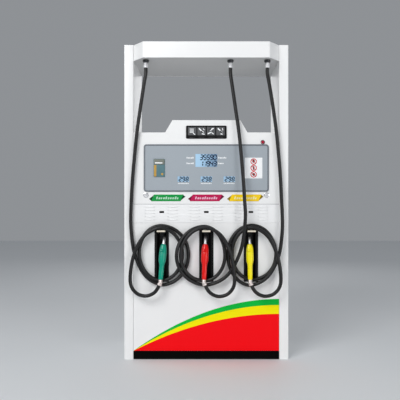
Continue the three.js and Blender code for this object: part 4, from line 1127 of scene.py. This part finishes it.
for n in (1, 2, 3):
    space, side = nozzle_space(n), END_SIDES[n - 1]
    colour, tone, other = COVER_COLOURS[n - 1]
    vinyl = finish_of(
        f"soft_pvc_cover_{colour}", tone, other, 0.05, (0.24, 0.34), 0.05 * MM, 6 * MM,
        Specular_IOR_Level=0.2, Coat_Weight=0.45, Coat_Roughness=0.08,
    )
    bulb = [(0, -34), (7, -33), (10, -30), (11, -24), (11, -14)]
    valve_cap = turned([(r, -d) for r, d in bulb[::-1]], (-9, 5, 212), (0, -1, 0.25), 16)
    parts = [cover_patch(), guard_patch(), valve_cap]
    body = piece(
        f"nozzle_cover_{n}", [into(space, p) for p in parts], f"nozzle_{n}", vinyl,
        [f"nozzle_body_{n}"], smooth=60,
    )
    smoother = body.modifiers.new("smooth skin", "SUBSURF")
    smoother.levels = smoother.render_levels = 2
    lever = carried(flat_curve(LEVER_LINE), oval(9.5, 2.6, 12, 4), (1, 0, 0))
    pin = turned([(4.5, -11), (5, -10.5), (5, 10.5), (4.5, 11)], (0, 46, 128), (1, 0, 0), 20)
    piece(
        f"trigger_{n}", [into(space, lever), into(space, pin)], f"lever_{n}", lever_plastic,
        [f"nozzle_lever_{n}"], smooth=50,
    )
    route = flat_curve(SPOUT_LINE, 8)
    spout = carried(route, circle(10.5, 24), (1, 0, 0))
    nut = turned([(11, 264.2), (12, 264.8), (12, 270), (11.4, 271.5), (10.4, 272)], (0, 8, 0), (0, 0, 1), 24)
    piece(
        f"spout_{n}", [into(space, spout), into(space, nut)], f"nozzle_{n}", spout_metal,
        [f"nozzle_spout_{n}"], smooth=40,
    )
    collar = turned([(9, 4), (13.5, 8), (14.5, 9), (14.5, 16), (13, 18.5)], (0, 0, 0), (0, 0, 1), 32)
    piece(f"nozzle_collar_{n}", [into(space, collar)], f"nozzle_{n}", swivel_plate, smooth=40)

    way = end_direction(side)
    end = routes[n - 1][-1]
    ferrule = [(13, 0.3), (15.6, 0.8), (16, 2), (16, 11.5), (15.2, 13.5), (11, 14.5), (9.2, 15), (9.2, 18)]
    ball_turn = np.linspace(-1.0, 1.3, 12)
    ball = [(15 * math.cos(t), 22 + 15 * math.sin(t)) for t in ball_turn]
    sleeve = turned(np.array(ferrule) * MM, end, way, 32)
    sphere = turned(np.array(ball) * MM, end, way, 32)
    piece(
        f"hose_swivel_{n}", [sleeve, sphere], "cabinet", swivel_plate, [f"nozzle_swivel_{n}"],
        smooth=40,
    )
    print(body.name, "turns about its ball at", space[1].round(3))

# %% [markdown]
# ## Outlets under the beam
# Each hose starts in a plated swivel that hangs from a dark flange. Its nut has six flats, so its
# profile is turned with a count of six.

# %% Outlets
flange_black = finish_of("anodised_black_flange", "#15161a", "#22242b", 0.02, (0.18, 0.28), Coat_Weight=0.3)
for n in (1, 2, 3):
    start = routes[n - 1][0]
    seat = soffit_low.z - 0.3 * MM
    down = (start[0], start[1], seat)
    flange = [(9, -12), (9, 0), (20, 0), (22.5, 3), (23, 8), (21.5, 14), (18, 18.5), (14, 20)]
    swivel = [(12.5, 20), (13, 22), (13, 29), (14.5, 30), (14.5, 34), (12.5, 35)]
    length = (seat - start[2]) / MM
    ferrule = [(12, 42), (15.5, 43), (16, 45), (16, length - 3), (15, length - 0.3)]
    nut = [(14, 34.5), (16.5, 35.5), (16.5, 41.5), (14, 42.5)]
    piece(
        f"outlet_flange_{n}", [turned(np.array(flange) * MM, down, (0, 0, -1))], "cabinet", flange_black,
        smooth=40,
    )
    parts = [
        turned(np.array(swivel) * MM, down, (0, 0, -1)), turned(np.array(ferrule) * MM, down, (0, 0, -1)),
        turned(np.array(nut) * MM, down, (0, 0, -1), 6),
    ]
    piece(
        f"outlet_swivel_{n}", parts, "cabinet", satin_chrome, [f"hose_outlet_{n}"], smooth=40
    )
    print("outlet", n, "is", round(length, 1), "mm long")

# %% [markdown]
# ## Rear door and the works behind it
# The back is one plain door on two pins, with a handle that turns a cam. Behind it stand a meter
# block for each product and its pipe, cast aluminium and drawn steel.

# %% Handle, meters, pipes and control box
cast_aluminium = finish_of(
    "aluminium_sand_cast", "#85888b", "#9a9da0", 0.04, (0.45, 0.6), 0.12 * MM, 1.8 * MM, Metallic=0.9
)
drawn_steel = finish_of(
    "steel_tube_drawn", "#8d9093", "#a2a4a6", 0.05, (0.3, 0.42), 0.01 * MM, 1 * MM, Metallic=1.0
)
box_grey = finish_of("abs_grey_enclosure", "#969ba0", "#a2a6aa", 0.1, (0.4, 0.5), 0.02 * MM, 1.5 * MM)
METER_Y = 60 * MM
softened("door_handle", 0.8 * MM, satin_chrome, segments=3)
softened("control_box", 2 * MM, box_grey, segments=3)
for n in (1, 2, 3):
    softened(f"flow_meter_{n}", 2 * MM, cast_aluminium, segments=3)
    softened(f"riser_pipe_{n}", 0, drawn_steel, smooth=50)
print("handle, control box, three meters and three pipes")

# %% [markdown]
# Each meter's two round covers are held by six hexagon bolts, and its counter by a blue moulded
# cap. A bolt head is a profile turned with a count of six, set on a circle.

# %% Bolts and caps
zinc = finish_of("zinc_plated_steel_bolt", "#b9b6a8", "#c9c7bd", 0.01, (0.25, 0.35), Metallic=1.0)
cap_blue = finish_of("polyamide_blue_cap", "#1d4c86", "#255a99", 0.03, (0.4, 0.5), 0.01 * MM, 1 * MM)
BOLT = np.array([(7, 0), (7, 4.2), (6.2, 5)]) * MM
CIRCLE_OF_BOLTS, COVER_HALF, CAP_TALL = 48 * MM, 75 * MM, 12 * MM
for n in (1, 2, 3):
    low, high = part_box(f"flow_meter_{n}")
    middle = Vector(((low.x + high.x) / 2, METER_Y, high.z - 125 * MM))
    bolts = []
    for face in (-1, 1):
        for spot in circle(CIRCLE_OF_BOLTS, 6):
            seat = (middle.x + spot[0], middle.y + face * (COVER_HALF - 0.2 * MM), middle.z + spot[1])
            bolts.append(turned(BOLT, seat, (0, face, 0), 6))
    piece(f"meter_bolts_{n}", bolts, "cabinet", zinc, smooth=20)
    cap = rounded_rectangle(middle.x - 36 * MM, middle.x + 36 * MM, high.z - 40 * MM, high.z - 8 * MM, 5 * MM)
    front = METER_Y + 40 * MM
    cap = plate(cap, front - 1 * MM, front + CAP_TALL, 2 * MM)
    piece(f"counter_cap_{n}", [cap], "cabinet", cap_blue)
    print("meter", n, "with", len(bolts), "bolts")

# %% [markdown]
# ## Floor and light
# A plain pale floor and large soft lamps, as in a product studio: one broad lamp in front and
# above, a weaker one from each side, and a pale surround that fills the shadows.

# %% Floor, lamps and surround
floor_mesh = bpy.data.meshes.new("studio_floor")
floor_points, floor_faces = grid(
    np.stack(np.meshgrid([-9.0, 9.0], [-7.0, 11.0], [0.0]), -1).reshape(2, 2, 3), close_columns=False
)
floor_mesh.from_pydata(floor_points.tolist(), [], floor_faces)
floor_finish = finish_of("studio_floor_pale", "#e2e5e7", "#e8eaec", 1.5, (0.55, 0.65))
floor_mesh.materials.append(floor_finish)
floor = bpy.data.objects.new("studio_floor", floor_mesh)
scene.collection.objects.link(floor)
floor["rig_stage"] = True

world = bpy.data.worlds.new("studio")
world.use_nodes = True
world.node_tree.nodes["Background"].inputs["Color"].default_value = linear("#c3c7cc")
world.node_tree.nodes["Background"].inputs["Strength"].default_value = 0.5
scene.world = world
scene.view_settings.view_transform = "Standard"


def lamp(name, place, towards, size, power):
    """A square soft lamp at a place, pointed at another."""
    data = bpy.data.lights.new(name, "AREA")
    data.size, data.energy = size, power
    made = bpy.data.objects.new(name, data)
    made.location = place
    made.rotation_euler = (Vector(towards) - Vector(place)).to_track_quat("-Z", "Y").to_euler()
    scene.collection.objects.link(made)


lamp("key", (-2.8, -5.4, 4.6), (0, 0, 1.0), 3.4, 240)
lamp("fill", (3.4, -5.2, 1.6), (0, 0, 0.9), 2.0, 60)
lamp("left", (-4.5, -1.0, 2.2), (0, 0, 1.1), 2.5, 14)
lamp("right", (4.5, -1.5, 2.2), (0, 0, 1.1), 2.5, 20)
lamp("behind", (0.5, 5.0, 3.5), (0, 0, 1.5), 3.0, 30)
print("five lamps")

# %% Sizes
sizes = {"cad": [list(c) for c in cad_box], "visual": [list(c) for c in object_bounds()]}
print(sizes)
